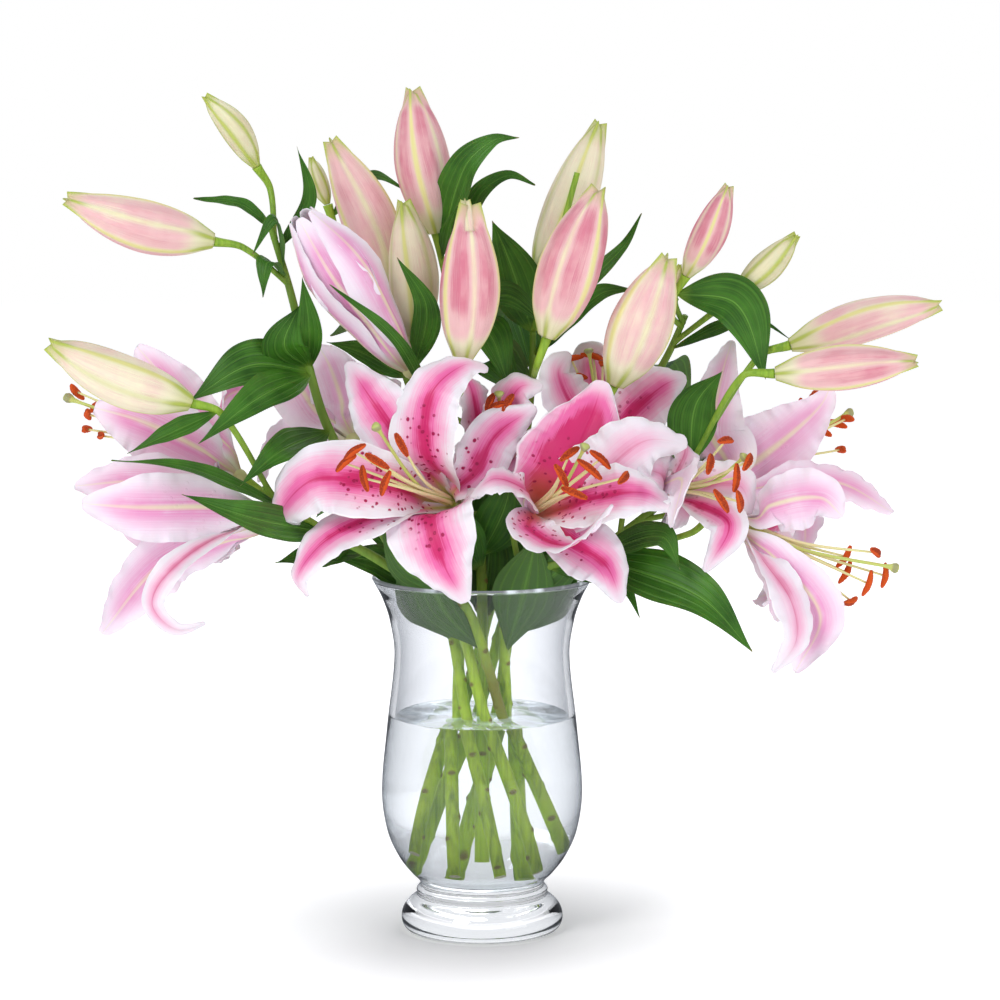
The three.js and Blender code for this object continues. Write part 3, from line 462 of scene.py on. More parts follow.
def bud_skin(bud, seed):
    """Rings along the bud's middle line. Their radius swells by BUD_FORM, and goes round
    with six ribs (a power of the cosine of three times the angle) and three furrows where
    the outer tepals meet. Near the tip the three outer ribs part, and run on into points."""
    base, tip = np.array(bud["base"], float), np.array(bud["tip"], float)
    middle = (base + tip) / 2 + bud["bend"]
    frames = frames_along([base, middle, tip], BUD_ROWS, end=PATH_END)
    t, at, along = frames[:3]
    swell = np.interp(t, *path_at(BUD_FORM, t).T)[:, None] * bud["width"] / 2
    down = t[:, None]
    twist = angles(BUD_AROUND) + BUD_TWIST * down + seed
    round_way = np.cos(3 * twist)
    rib, main = np.abs(round_way) ** 7, np.clip(round_way, 0, 1)
    furrow = np.clip(-round_way, 0, 1) ** 3 * np.sin(np.pi * down)
    late = np.clip((down - BUD_POINTS_FROM) / (1 - BUD_POINTS_FROM), 0, 1)
    shut = BUD_SHUT * late * (main**3 - 0.4)
    radius = swell * (1 + BUD_RIB * rib + BUD_LOBE * round_way + shut - BUD_FURROW * furrow)
    parted = np.clip((down - BUD_PARTING_FROM) / (1 - BUD_PARTING_FROM), 0, 1) ** 2
    radius = radius + bud.get("splay", 0) * parted * main**1.5
    radius = radius * (1 + 0.012 * np.sin(7 * down + 2 * twist + seed))
    ahead = BUD_POINTS * bud["width"] / USUAL_WIDTH * late**2 * main**4
    ahead = ahead - bud.get("parting", BUD_PARTING) * parted**1.5 * (1 - main) ** 2
    rings = rings_around(frames, radius, BUD_AROUND) + along[:, None] * ahead[..., None]
    place = np.stack(np.broadcast_arrays(down, rib, main), -1)
    tone = np.broadcast_to([bud["rose"], bud["green"], seed], place.shape)
    return skin(rings, at[0], at[-1] + along[-1] * 0.5, place=place, tone=tone)


def bud_finish():
    """Rose clouds on a cream ground between yellow ribs. Each outer tepal's rib is broad
    and cream with a fine green crest, the seams between are thin; the ends are greener."""
    material, shader, m = finish(
        "bud", Subsurface_Weight=0.12, Subsurface_Radius=(1.0, 0.5, 0.35),
        Subsurface_Scale=0.003, Specular_IOR_Level=0.4,
    )
    down, rib, main = m.mark("place")
    rose, green, seed = m.mark("tone")
    broad = m.noise(m.object_place(), 38.0, 3.0)
    streaks = m.noise(m.vector(rib * 7.0 + seed, down * 2.2, main * 9.0), 2.2, 4.0)
    mottle = (broad - 0.5) * 1.1 + (streaks - 0.5) * 0.9
    side = (main - 0.35).rise(0.0, 0.5) * (1.0 - rib)
    blush = (rose * (1.0 - rib * 0.8) + mottle * 0.8 + 0.15) * down.rise(0.04, 0.3)
    colour = blush.rise(0.1, 0.75).blend(BUD_CREAM, BUD_BLUSH)
    deep = (rose * 0.9 + mottle * 0.85 - rib * 0.9) * down.rise(0.1, 0.4) * down.fall(0.85, 1.0)
    colour = deep.rise(0.4, 1.1, 0.95).blend(colour, BUD_ROSE)
    crest = rib.rise(0.5, 1.0) * (main * 0.75 + 0.2)
    colour = crest.blend(colour, BUD_RIDGE)
    ends = down.fall(0.0, 0.26).most(down.rise(0.82, 1.0))
    greened = ends * (0.45 + rib * 0.55) + green * (0.45 + rib * 0.5 + mottle * 0.3)
    greened.rise(0.15, 1.1).blend(colour, BUD_GREEN).into(shader, "Base Color")
    (0.42 + broad * 0.2 + side * 0.05).into(shader, "Roughness")
    m.bump(streaks + broad * 0.5, 0.0007, 0.6).into(shader, "Normal")
    return material


bud_material = bud_finish()
for number, (name, bud) in enumerate(BUDS.items()):
    node = name.replace("b", "bud_")
    skins = [bud_skin(bud, 0.7 * number)]
    if "within" in bud:
        skins.append(bud_skin(dict(bud, splay=0, parting=BUD_PARTING, **bud["within"]), number))
    piece(node + "_tepals", skins, bud_material, [node])

# The open blooms' petals --------------------------------------------------------------
# Six thick, waxy tepals on a green heart: narrow at the claw, broad and ruffled along
# their white margins, bent back at the tip, with a ribbed middle and raised dark spots.

PETAL_ROWS = 64
PETAL_COLUMNS = 25
PETAL_THICK = 1.0
CLAW_RADII = (8, 12)
CLAW_HEIGHT = 15
CLAW_INSET = 2.6
HEART_REACH = (-4, 6)
HEART_ROWS = 12
HEART_AROUND = 20
CREASE = 1.1
RUFFLE = 1.7
BELLY = 1.2
ROLL = 0.25
CUP = (0.5, -0.12)
WAVE = 2.5
REGULAR_INNER = dict(width=46, profile=[(38, 24), (62, 62), (44, 100)])
REGULAR_OUTER = dict(width=34, profile=[(34, 25), (48, 66), (22, 98)])
WHITE = (0.83, 0.77, 0.82, 1)
EDGE_PAINTED_HIGHLIGHT = (0.92, 0.89, 0.92, 1)
BLUSH = (0.86, 0.42, 0.6, 1)
PINK = (0.82, 0.13, 0.38, 1)
MAGENTA = (0.62, 0.008, 0.13, 1)
SPOT = (0.4, 0.006, 0.08, 1)
THROAT_GREEN = (0.55, 0.6, 0.13, 1)
THROAT_WARM = (0.85, 0.24, 0.16, 1)
BACK_PALE = (0.9, 0.79, 0.88, 1)
BACK_ROSE = (0.78, 0.18, 0.48, 1)
BACK_RIB = (0.84, 0.78, 0.5, 1)


def placed(width, *to, **more):
    """A petal of the given width, which runs from its claw through the given places."""
    return dict(to=to, width=width, **more)


def regular(azimuth, size, inner=False):
    """A petal in the regular place of an open lily, at an azimuth round the throat."""
    return dict(REGULAR_INNER if inner else REGULAR_OUTER, azimuth=azimuth, size=size)


# Blooms by name: receptacle, the way the throat faces, the petals around it, and the
# places of the anthers and the stigma.
BLOOMS = dict(
    A=dict(at=(-16, -30, 304), dir=(-0.58, -0.75, 0.3), seed=11, pink=1.0, spots=1.0, warm=0.1,
        petals=[
            placed(46, (-37, -68, 345), (-34, -72, 384), (-12, -60, 403), (6, -50, 400),
                belly=1.0, face=(-0.4, -0.9, 0)),
            placed(50, (-65, -76, 323), (-112, -84, 328), (-136, -74, 303), (-124, -62, 293)),
            placed(62, (-34, -80, 301), (-25, -93, 271), (-10, -82, 243), belly=0.8,
                face=(-0.2, -0.95, 0.1)),
            placed(42, (-50, -58, 345), (-72, -58, 376), (-93, -28, 403), face=(-0.3, -0.9, 0.3)),
            placed(34, (-62, -68, 304), (-103, -84, 288), (-124, -86, 262), (-117, -80, 246),
                face=(-0.2, -0.7, 0.7)),
            placed(36, (-4, -50, 330), (10, -44, 354), (38, -38, 373), face=(0.2, -0.9, 0.4)),
        ],
        anthers=[(-84, -100, 348), (-77, -105, 331), (-53, -100, 353), (-63, -112, 329),
            (-69, -108, 343), (-90, -96, 340)],
        stigma=(-71, -100, 367)),
    B=dict(at=(32, -38, 298), dir=(0.5, -0.72, 0.45), seed=12, pink=1.0, spots=0.9, warm=0.8,
        petals=[
            placed(68, (56, -58, 325), (67, -52, 350), (76, -48, 370), (83, -44, 392),
                belly=0.85, pink=1.7, face=(-0.1, -0.95, 0.1), cup=(0.8, 0)),
            placed(50, (78, -62, 326), (110, -68, 352), (141, -62, 350), wave=4, belly=1.0,
                face=(0.1, -0.9, 0.5), pink=0.42, ruffle=3.2),
            placed(44, (80, -80, 316), (110, -94, 320), (130, -90, 309), belly=1.05,
                face=(-0.2, -0.8, 0.6)),
            placed(40, (60, -66, 284), (84, -88, 270), (95, -84, 243), belly=1.1,
                face=(0.2, -0.9, 0.3)),
            placed(36, (29, -74, 320), (9, -80, 328), (-8, -76, 315), face=(0.1, -0.5, 0.8),
                pink=0.6),
            placed(38, (33, -92, 295), (59, -118, 288), (88, -122, 317), face=(0, -0.1, 1)),
        ],
        anthers=[(59, -95, 346), (79, -100, 343), (94, -110, 332), (62, -120, 323),
            (72, -115, 338), (53, -112, 334)],
        stigma=(70, -100, 353)),
    C=dict(at=(12, 6, 326), dir=(0.0, -0.6, 0.8), seed=13, pink=0.85, spots=0.6, warm=0.2,
        petals=[
            placed(34, (-2, -8, 358), (-8, -8, 384), (-18, 6, 396)),
            placed(38, (16, -16, 362), (26, -20, 384), (43, -18, 385)),
            placed(34, (26, -22, 344), (36, -26, 356), (50, -20, 352)),
            regular(345, 0.4),
            regular(185, 0.4, inner=True),
            regular(238, 0.4),
        ],
        anthers=[(6, -30, 374), (12, -34, 372), (18, -32, 374)],
        stigma=(12, -34, 382)),
    D=dict(at=(88, 18, 334), dir=(-0.2, 0.0, 0.98), seed=14, pink=0.7, spots=0.6, warm=0.1,
        petals=[
            placed(42, (68, -2, 360), (53, -6, 392), (62, 3, 406), face=(0.6, -0.7, 0.2)),
            placed(40, (84, 30, 368), (76, 38, 398), (86, 30, 408)),
            placed(44, (105, 4, 365), (126, -4, 384), (142, 2, 390), face=(-0.1, -0.95, 0.3),
                pink=0.9),
            regular(76, 0.36),
            regular(330, 0.5, inner=True),
            regular(210, 0.4),
        ],
        anthers=[(63, 26, 398), (67, 20, 386), (78, 24, 400), (84, 12, 396)],
        stigma=(74, 14, 408)),
    E=dict(at=(118, -40, 314), dir=(0.85, -0.5, 0.15), seed=15, pink=0.45, spots=0.3, warm=0.1,
        petals=[
            placed(34, (134, -71, 327), (134, -108, 324), (126, -112, 298), pink=0.15,
                face=(0.4, 0.8, -0.3), cup=(0.3, -0.1)),
            placed(27, (146, -68, 309), (167, -84, 297), (150, -89, 265), pink=0.9,
                face=(0.6, -0.8, 0.1)),
            placed(36, (153, -50, 320), (176, -56, 320), (184, -54, 300), face=(0.1, -0.8, 0.6)),
            regular(25, 0.45),
            regular(145, 0.3, inner=True),
            regular(300, 0.4),
        ],
        anthers=[(164, -80, 353), (153, -84, 338), (170, -92, 330), (172, -98, 315),
            (160, -104, 316), (178, -88, 340)],
        stigma=(178, -84, 344)),
    F=dict(at=(166, -10, 312), dir=(0.75, 0.5, 0.45), seed=16, pink=0.65, spots=0.3, warm=0.0,
        petals=[
            placed(44, (160, 2, 350), (167, 8, 390), (175, 22, 414), belly=0.62,
                face=(0.3, 0.9, 0.2)),
            placed(52, (190, 2, 330), (218, 4, 352), (236, 6, 370), (243, 8, 384), belly=0.72,
                face=(0.3, 0.9, 0.3)),
            placed(36, (208, -4, 316), (248, -8, 317), (287, -4, 295), face=(0, 0.7, 0.7)),
            regular(78, 0.85, inner=True),
            regular(130, 0.85),
            regular(182, 0.85, inner=True),
        ],
        anthers=[(256, 45, 355), (234, 50, 371), (252, 40, 334), (240, 60, 345), (225, 62, 360),
            (250, 58, 350)],
        stigma=(262, 55, 360)),
    G=dict(at=(171, -62, 298), dir=(0.87, -0.25, -0.42), seed=17, pink=0.75, spots=0.3, warm=0.1,
        petals=[
            placed(42, (196, -68, 308), (229, -74, 314), (244, -82, 302), face=(0.2, 0.9, -0.4)),
            placed(36, (199, -82, 274), (229, -88, 236), (212, -84, 195), face=(0.5, 0.8, 0)),
            placed(28, (191, -88, 272), (208, -102, 248), (211, -108, 222), (195, -108, 199),
                spots=0.0, pink=0.42, face=(0.6, -0.8, 0)),
            regular(68, 0.7),
            regular(138, 0.72, inner=True),
            placed(30, (196, -50, 285), (206, -46, 255), (203, -44, 224), face=(0.5, 0.8, 0)),
        ],
        anthers=[(261, -72, 256), (250, -70, 244), (266, -74, 277), (273, -64, 260),
            (246, -62, 273), (247, -60, 262)],
        stigma=(283, -74, 266)),
    H=dict(at=(-138, -60, 299), dir=(-0.96, 0.0, 0.02), seed=18, pink=0.8, spots=0.4, warm=0.1,
        petals=[
            placed(42, (-185, -54, 314), (-233, -50, 322), (-280, -42, 318), face=(0, 0.8, -0.5)),
            placed(46, (-183, -74, 308), (-230, -84, 309), (-271, -78, 311),
                face=(0, 0.95, -0.2)),
            placed(32, (-181, -50, 288), (-220, -46, 283), (-263, -44, 302), face=(0, 0.6, 0.6)),
            placed(46, (-174, -61, 283), (-218, -68, 268), (-260, -66, 219),
                face=(-0.4, 0.8, 0.3)),
            placed(18, (-186, -80, 284), (-214, -94, 262), (-221, -98, 244), (-205, -98, 228),
                (-184, -94, 232), spots=0.0, pink=0.45, face=(-0.3, -0.8, 0.3)),
            regular(248, 0.7, inner=True),
        ],
        anthers=[(-208, -40, 300), (-214, -34, 310), (-216, -30, 296), (-206, -28, 306),
            (-210, -24, 292), (-216, -20, 302)],
        stigma=(-226, -30, 302)),
    I=dict(at=(-166, -20, 322), dir=(-0.8, 0.3, 0.5), seed=19, pink=0.85, spots=0.3, warm=0.1,
        petals=[
            placed(50, (-194, -24, 342), (-234, -30, 362), (-267, -26, 371),
                face=(0.2, 0.9, -0.2)),
            placed(38, (-198, -8, 362), (-226, -2, 396), (-240, 6, 411), face=(-0.5, 0.6, 0.5)),
            regular(136, 0.32),
            regular(185, 0.4, inner=True),
            regular(245, 0.6),
            regular(302, 0.85, inner=True),
        ],
        anthers=[(-273, 10, 362), (-282, 18, 377), (-265, 20, 346), (-276, 26, 350),
            (-262, 30, 369), (-270, 36, 365)],
        stigma=(-292, 18, 374)),
    J=dict(at=(-90, 26, 342), dir=(-0.5, 0.62, 0.62), seed=20, pink=0.55, spots=0.4, warm=0.0,
        petals=[
            placed(44, (-116, 18, 364), (-135, 26, 391), (-155, 38, 400), face=(-0.2, 0.9, 0.2)),
            placed(40, (-98, 14, 372), (-106, 14, 396), (-114, 22, 409), face=(0, 0.95, 0.2)),
            regular(134, 0.74),
            regular(190, 0.75, inner=True),
            regular(250, 0.75),
            regular(307, 0.52, inner=True),
        ]),
)


def draws(seed):
    """Seeded numbers from 0 to 1, the same ones that the part's source draws."""
    state = seed
    while True:
        state = (state * 1664525 + 1013904223) % 2**32
        yield state / 2**32


def bloom_frame(bloom):
    """A bloom's base, the way it faces, and the two directions across that."""
    axis = unit(np.array(bloom["dir"], float))
    up = unit(np.array([0, 0, 1.0]) - axis[2] * axis)
    return np.array(bloom["at"], float), axis, up, np.cross(up, axis)


def around_bloom(bloom, azimuth, along, out):
    base, axis, up, right = bloom_frame(bloom)
    a = math.radians(azimuth)
    return base + axis * along + (up * math.cos(a) + right * math.sin(a)) * out


def petals_of(bloom):
    """A bloom's petals with their places filled in. Every other claw stands further in."""
    base, _, up, right = bloom_frame(bloom)
    petals = []
    for petal in bloom["petals"]:
        petal = dict(petal)
        if "profile" in petal:
            size = petal["size"]
            petal["to"] = [
                around_bloom(bloom, petal["azimuth"], s * size, r * size)
                for s, r in petal["profile"]
            ]
        away = np.array(petal["to"][0], float) - base
        petal["turn"] = math.atan2(away @ right, away @ up)
        petals.append(petal)
    for place, petal in enumerate(sorted(petals, key=lambda p: p["turn"])):
        petal["claw"] = CLAW_RADII[place % 2]
    return petals


def blade(frames, half, lift, thick, columns, seed, **marks):
    """A thin blade: at each place along its path it runs from one edge to the other over
    its upper side and back under it. half is its half width there, lift its height over
    the path at each x from -1 to 1, and its thickness falls to the edges as a half circle
    does. Its skin carries place, which is how far along, x, and 1 above or -1 below, and
    flat, which is the metres across and along it and the seed."""
    t, at, along, side, normal = frames
    x = np.cos(np.linspace(0, np.pi, columns))
    x = x * (1.25 - 0.25 * x * x)
    x = np.concatenate([x, x[-2:0:-1]])
    above = np.where(np.arange(len(x)) < columns, 1.0, -1.0)
    above[[0, columns - 1]] = 0
    t, x = np.broadcast_arrays(t[:, None], x)
    height = lift(t, x) + above * thick / 2 * np.sqrt(np.clip(1 - x * x, 0, 1))
    across = half(t) * x
    rings = (
        at[:, None] + side[:, None] * across[..., None] + normal[:, None] * height[..., None]
    )
    length = np.linalg.norm(np.diff(at, axis=0), axis=1).sum()
    place = np.stack([t, x, np.broadcast_to(above, t.shape)], -1)
    flat = np.stack([across * MM, t * length * MM, np.full(t.shape, seed)], -1)
    carried = {k: np.broadcast_to(np.array(v, float), place.shape) for k, v in marks.items()}
    return skin(rings, at[0], at[-1] + along[-1] * 0.8, place=place, flat=flat, **carried)


def petal_skin(bloom, petal, draw, seed):
    """The middle line leaves the heart at the claw and runs through the petal's places. The
    half width is a sine of a power of t, the cup a parabola that opens towards the tip, and
    the margins swing up and down in long waves with short ruffles on them. A furrow runs
    along the middle of the face, with a low ridge on each side of it."""
    base, axis, _, _ = bloom_frame(bloom)
    away = np.array(petal["to"][0], float) - base
    radial = unit(away - (away @ axis) * axis)
    start = base + axis + radial * CLAW_INSET
    claw = base + axis * CLAW_HEIGHT + radial * petal["claw"]
    frames = frames_along(
        [start, claw, *petal["to"]], PETAL_ROWS, np.cross(axis, radial), petal.get("face"),
        PATH_END,
    )
    turns = 2.2 + next(draw) * 0.8
    phase = (next(draw) * 6.28, next(draw) * 6.28)
    own = np.random.default_rng(seed)
    small = own.uniform(0, 6.28, 6)
    beats = own.uniform(6.5, 9.5, 2)
    wave, cup = petal.get("wave", WAVE), petal.get("cup", CUP)
    ruffle = petal.get("ruffle", RUFFLE) * petal["width"] / USUAL_WIDTH
    middle = petal["width"] / 2
    belly = petal.get("belly", BELLY)

    def half(t):
        swell = 0.1 * (1 - t) ** 2 + 1.04 * np.sin(np.pi * t**belly) ** (1.05 - 0.42 * t**6)
        return middle * swell * (1 + 0.03 * np.sin(21 * t + small[0]))

    def lift(t, x):
        right = x > 0
        swing = np.sin(2 * np.pi * turns * t + np.where(right, phase[1], phase[0]))
        fading = np.sin(np.pi * np.minimum(t * 1.1, 1))
        beat = 2 * np.pi * np.where(right, beats[0], beats[1])
        short = np.sin(beat * t + np.where(right, small[1], small[2]))
        short += 0.5 * np.sin(1.9 * beat * t + np.where(right, small[3], small[4]))
        edge = np.abs(x)
        ridge = np.exp(-(((edge - 0.13) / 0.09) ** 2)) - 1.6 * np.exp(-((edge / 0.07) ** 2))
        return (
            (cup[0] * (1 - t) + cup[1] * t) * half(t) * x * x
            - ROLL * half(t) * edge**5 * t**1.5
            + wave * swing * x * x * fading
            + ruffle * short * edge**3.5 * np.clip(2.5 * t - 0.5, 0, 1) * (1 - 0.5 * t)
            + 0.5 * CREASE * ridge * np.sin(np.pi * np.clip(t, 0, 1)) ** 0.5
        )

    tone = [petal.get(k, bloom[k]) for k in ("pink", "spots", "warm")]
    return blade(
        frames, half, lift, PETAL_THICK, PETAL_COLUMNS, seed=float(seed % 97), tone=tone
    )


def heart_skin(bloom):
    """The green heart that the six claws stand on: a short swelling on the stalk."""
    base, axis, _, _ = bloom_frame(bloom)
    start, end = (base + axis * reach for reach in HEART_REACH)
    frames = frames_along([start, end], HEART_ROWS)
    radius = 2.4 + 2.6 * np.sin(np.pi * np.linspace(0.03, 0.92, HEART_ROWS)) ** 0.8
    rings = rings_around(frames, radius, HEART_AROUND)
    place = np.broadcast_to([0.02, 0.0, -1.0], rings.shape)
    return skin(rings, start, end, place=place, flat=0 * rings, tone=0 * rings)


def petal_finish():
    """White margins that turn through blush to pink, and beside the middle to magenta,
    with a fine dark line along it, raised crimson spots on the lower half and green in the
    throat. Backs are lilac pink, streaked along the veins, with a cream rib."""
    material, shader, m = finish(
        "petal", Subsurface_Weight=0.12, Subsurface_Radius=(1.0, 0.4, 0.5),
        Subsurface_Scale=0.002, Specular_IOR_Level=0.4,
    )
    t, x, above = m.mark("place")
    across, along, seed = m.mark("flat")
    pink, spots, warm = m.mark("tone")
    out = abs(x)
    cloud = m.noise(m.vector(across, along, seed), 60.0) - 0.5
    vein = m.noise(m.vector(across * 1100.0, along * 9.0, seed), 1.0)
    streak = vein - 0.5

    frayed = m.noise(m.vector(across * 2600.0, along * 16.0, seed), 1.0) - 0.5
    reach = out + cloud * 0.4 + streak * 0.3 + frayed * 0.24 - (pink - 1.0).most(0.0) * 0.5
    middle = t.rise(0.03, 0.25) * t.fall(0.72, 1.0)
    tint = reach.fall(0.25, 0.95) * (middle * 0.85 + 0.15) * pink
    inner = tint.rise(0.0, 0.75).blend(WHITE, BLUSH)
    field = (reach + t * 0.12).fall(0.1, 0.72) * middle * pink
    inner = field.rise(0.12, 0.85, 0.95).blend(inner, PINK)
    band = (reach + abs(t - 0.42) * 0.5).fall(0.0, 0.42) * t.rise(0.08, 0.24) * pink
    inner = (band * t.fall(0.6, 0.95)).rise(0.1, 0.8, 0.9).blend(inner, MAGENTA)
    line = out.fall(0.012, 0.04) * t.rise(0.1, 0.25) * t.fall(0.75, 0.95) * pink
    inner = (line * 0.55).blend(inner, MAGENTA)
    throat = (t + out * 0.12).fall(0.1, 0.27)
    inner = (throat * (1.0 - warm) * out.fall(0.1, 0.9)).blend(inner, THROAT_GREEN)
    inner = (t.fall(0.1, 0.42) * out.fall(0.3, 0.9) * warm).blend(inner, THROAT_WARM)
    cells = {"Vector": m.vector(across, along, seed * 0.013), "Scale": 205.0,
             "Randomness": 0.9}
    near = m.node("TexVoronoi", {}, cells, "Distance")
    where = (t + cloud * 0.3).rise(0.12, 0.2) * (t + cloud * 0.4 + out * 0.1).fall(0.45, 0.66)
    # A thin brighter line along the margin is a painted highlight, light caught on the edge.
    inner = out.rise(0.93, 0.98, 0.8).blend(inner, EDGE_PAINTED_HIGHLIGHT)
    spot = near.fall(0.2, 0.3) * (where * out.fall(0.6, 0.9)).rise(0.15, 0.4) * spots
    inner = spot.blend(inner, SPOT)

    flush = (streak * 0.9 + cloud * 0.8 + 0.75).rise(0.0, 1.1) * reach.fall(0.1, 0.95)
    back = pink.rise(0.1, 0.5).blend(WHITE, BACK_PALE)
    back = (flush * (0.15 + pink * 0.95) * t.fall(0.75, 1.0)).blend(back, BACK_ROSE)
    rib = (out + t * 0.04).fall(0.03, 0.15) * (1.0 - t.rise(0.4, 1.0, 0.5))
    back = (rib * 0.8).blend(back, BACK_RIB)
    back = (t.fall(0.03, 0.22) * 0.6).blend(back, BUD_GREEN)
    above.rise(-0.25, 0.25).blend(back, inner).into(shader, "Base Color")
    (0.4 + cloud * 0.2 + vein * 0.1).into(shader, "Roughness")
    m.bump(vein * 0.4 + spot, 0.0007, 0.6).into(shader, "Normal")
    return material


petal_material = petal_finish()
for number, (letter, bloom) in enumerate(BLOOMS.items()):
    draw = draws(bloom["seed"])
    skins = [heart_skin(bloom)]
    for place, petal in enumerate(petals_of(bloom)):
        skins.append(petal_skin(bloom, petal, draw, 100 * number + place))
    node = f"bloom_{letter}_petals"
    piece(f"bloom_{letter}_tepals", skins, petal_material, [node])

# The stamens and pistils --------------------------------------------------------------
# Six slender filaments round a thicker green style with a lobed stigma. A long anther
# swings on each filament by its middle, burst open and dusty with rust-orange pollen.

ANTHER_RADIUS = 2.3
ANTHER_ARCH = 1.6
STYLE_FORM = [(0, 2.6), (0.1, 3.0), (0.2, 2.0), (0.28, 1.25), (0.9, 1.15), (0.96, 1.9)]
STIGMA_RADIUS = 2.7
STYLE_RADIUS = 1.15
STYLE_ROWS = 60
STYLE_AROUND = 24
ANTHER_ROWS = 34
ANTHER_AROUND = 20
FILAMENT_ROWS = 30
FILAMENT_AROUND = 10
FILAMENT_PALE = (0.84, 0.78, 0.42, 1)
STYLE_GREEN = (0.55, 0.62, 0.16, 1)
STIGMA_DULL = (0.36, 0.36, 0.16, 1)
POLLEN = (0.64, 0.08, 0.003, 1)
POLLEN_DARK = (0.29, 0.025, 0.002, 1)


def strand_skin(frames, radius, around, style=0, tip=0, past=0.0):
    """A strand about a path. It carries how far along each ring is and two more numbers,
    and ends that far past its last ring."""
    t, at, along = frames[:3]
    rings = rings_around(frames, radius, around)
    place = [np.broadcast_to(v, rings.shape[:2]) for v in (t[:, None], style, tip)]
    return skin(rings, at[0], at[-1] + along[-1] * past, place=np.stack(place, -1))


def style_skin(bloom, knob):
    """The ovary and style: rings sized by STYLE_FORM, six-grooved at the foot, swelling
    into a knob whose radius goes round with three lobes."""
    base, axis, _, _ = bloom_frame(bloom)
    waist = base + axis * 40 + (np.array(knob) - base - axis * 40) * 0.1
    frames = frames_along([base + axis * 5.5, waist, knob], STYLE_ROWS, end=0.995)
    t, a = frames[0], angles(STYLE_AROUND)
    radius = np.interp(t, *np.array(STYLE_FORM).T)
    knobbed = np.exp(-(((t - 0.975) / 0.022) ** 2))[:, None]
    foot = (t < 0.24)[:, None]
    lobes = (STIGMA_RADIUS - STYLE_RADIUS) * knobbed * (1 + 0.35 * np.cos(3 * a))
    radius = (radius[:, None] + lobes) * (1 + 0.06 * foot * np.cos(6 * a))
    return strand_skin(frames, radius, STYLE_AROUND, 1, knobbed, 0.6)


def anther_skin(middle, direction, bow, half, seed):
    """A slim boat: rings about a shallow arc of the given half length. Going round, the
    radius makes two lobes with a groove between them, roughened by grains of pollen."""
    ends = [middle - direction * half, middle + bow * ANTHER_ARCH, middle + direction * half]
    frames = frames_along(ends, ANTHER_ROWS, side=bow, end=0.99)
    t, a = frames[0], angles(ANTHER_AROUND)
    swell = np.sin(np.pi * (0.03 + 0.94 * t)) ** 0.45
    groove = 1 - 0.34 * np.exp(-((np.angle(np.exp(1j * a)) / 0.5) ** 2))
    groove = groove + 0.16 * np.abs(np.sin(a))
    grains = 1 + 0.1 * np.random.default_rng(seed).uniform(-1, 1, (len(t), len(a)))
    radius = ANTHER_RADIUS * swell[:, None] * groove * grains
    return strand_skin(frames, radius, ANTHER_AROUND, np.cos(a) > 0.6)


def stamens_of(bloom, seed):
    """Skins of a bloom's filaments and style, and skins of its anthers."""
    draw = draws(bloom["seed"] + 500)
    base, axis, _, _ = bloom_frame(bloom)
    tips = bloom.get("anthers")
    if tips is None:
        tips = []
        for azimuth in range(30, 360, 60):
            azimuth += (next(draw) - 0.5) * 20
            tips.append(around_bloom(bloom, azimuth, 66 + next(draw) * 8, 22 + next(draw) * 8))
    strands, anthers = [], []
    for number, tip in enumerate(np.array(tips, float)):
        away = tip - base
        radial = away - (away @ axis) * axis
        out = unit(radial)
        knee = base + axis * (0.52 * away @ axis) + radial * 0.3
        frames = frames_along([base + axis * 10 + out * 2.1, knee, tip], FILAMENT_ROWS)
        strands.append(strand_skin(frames, 1.45 - 0.7 * frames[0], FILAMENT_AROUND))
        ahead = frames[2][-1]
        across = unit(np.cross(ahead, radial))
        leaning = unit(across + ahead * (next(draw) - 0.5) + out * (next(draw) - 0.5))
        bow = unit(ahead - (ahead @ leaning) * leaning)
        half = 8.8 + next(draw) * 2
        anthers.append(anther_skin(tip + bow * 0.6, leaning, bow, half, seed + number))
    knob = bloom.get("stigma", around_bloom(bloom, 20, 80, 9))
    strands.append(style_skin(bloom, np.array(knob, float)))
    return strands, anthers


def strand_finish():
    """Cream filaments, greener to their tips, and a light green style with a dull knob."""
    material, shader, m = finish("filament", Roughness=0.45, Subsurface_Weight=0.15,
                                 Subsurface_Scale=0.002)
    t, style, tip = m.mark("place")
    strand = (t.rise(0.3, 1.0) * 0.35).blend(FILAMENT_PALE, STYLE_GREEN)
    colour = style.blend(strand, STYLE_GREEN)
    tip.rise(0.25, 0.8).blend(colour, STIGMA_DULL).into(shader, "Base Color")
    return material


def pollen_finish():
    """Rust-orange powder, darker down in the grooves and where it has rubbed off."""
    material, shader, m = finish("pollen", Roughness=0.9)
    _, groove, _ = m.mark("place")
    fine = m.noise(m.object_place(), 900.0, 3.0)
    worn = (groove * 0.5 + (fine - 0.5) * 1.3 + 0.1).rise(0.15, 0.8)
    worn.blend(POLLEN, POLLEN_DARK).into(shader, "Base Color")
    m.bump(fine, 0.0005, 0.8).into(shader, "Normal")
    return material


strand_material = strand_finish()
pollen_material = pollen_finish()
for number, (letter, bloom) in enumerate(BLOOMS.items()):
    strands, anthers = stamens_of(bloom, 100 * number)
    node = f"bloom_{letter}_stamens"
    piece(f"bloom_{letter}_filaments", strands, strand_material, [node])
    piece(f"bloom_{letter}_anthers", anthers, pollen_material, [node])

# The half-open bloom ------------------------------------------------------------------
# Its six tepals have parted but still stand close together, as a long cone whose edges
# overlap and whose tips are just bending outwards.

HALF_OPEN = dict(at=(-49, -15, 394), tip=(-122, -40, 503), width=52, inner=0.86)
HALF_OPEN_PLACES = [(0.3, 0.32), (0.68, 0.45), (1.02, 0.18)]
HALF_OPEN_PETAL = dict(width=38, wave=0.8, cup=(0.5, 0.35), ruffle=0.5, claw=10)

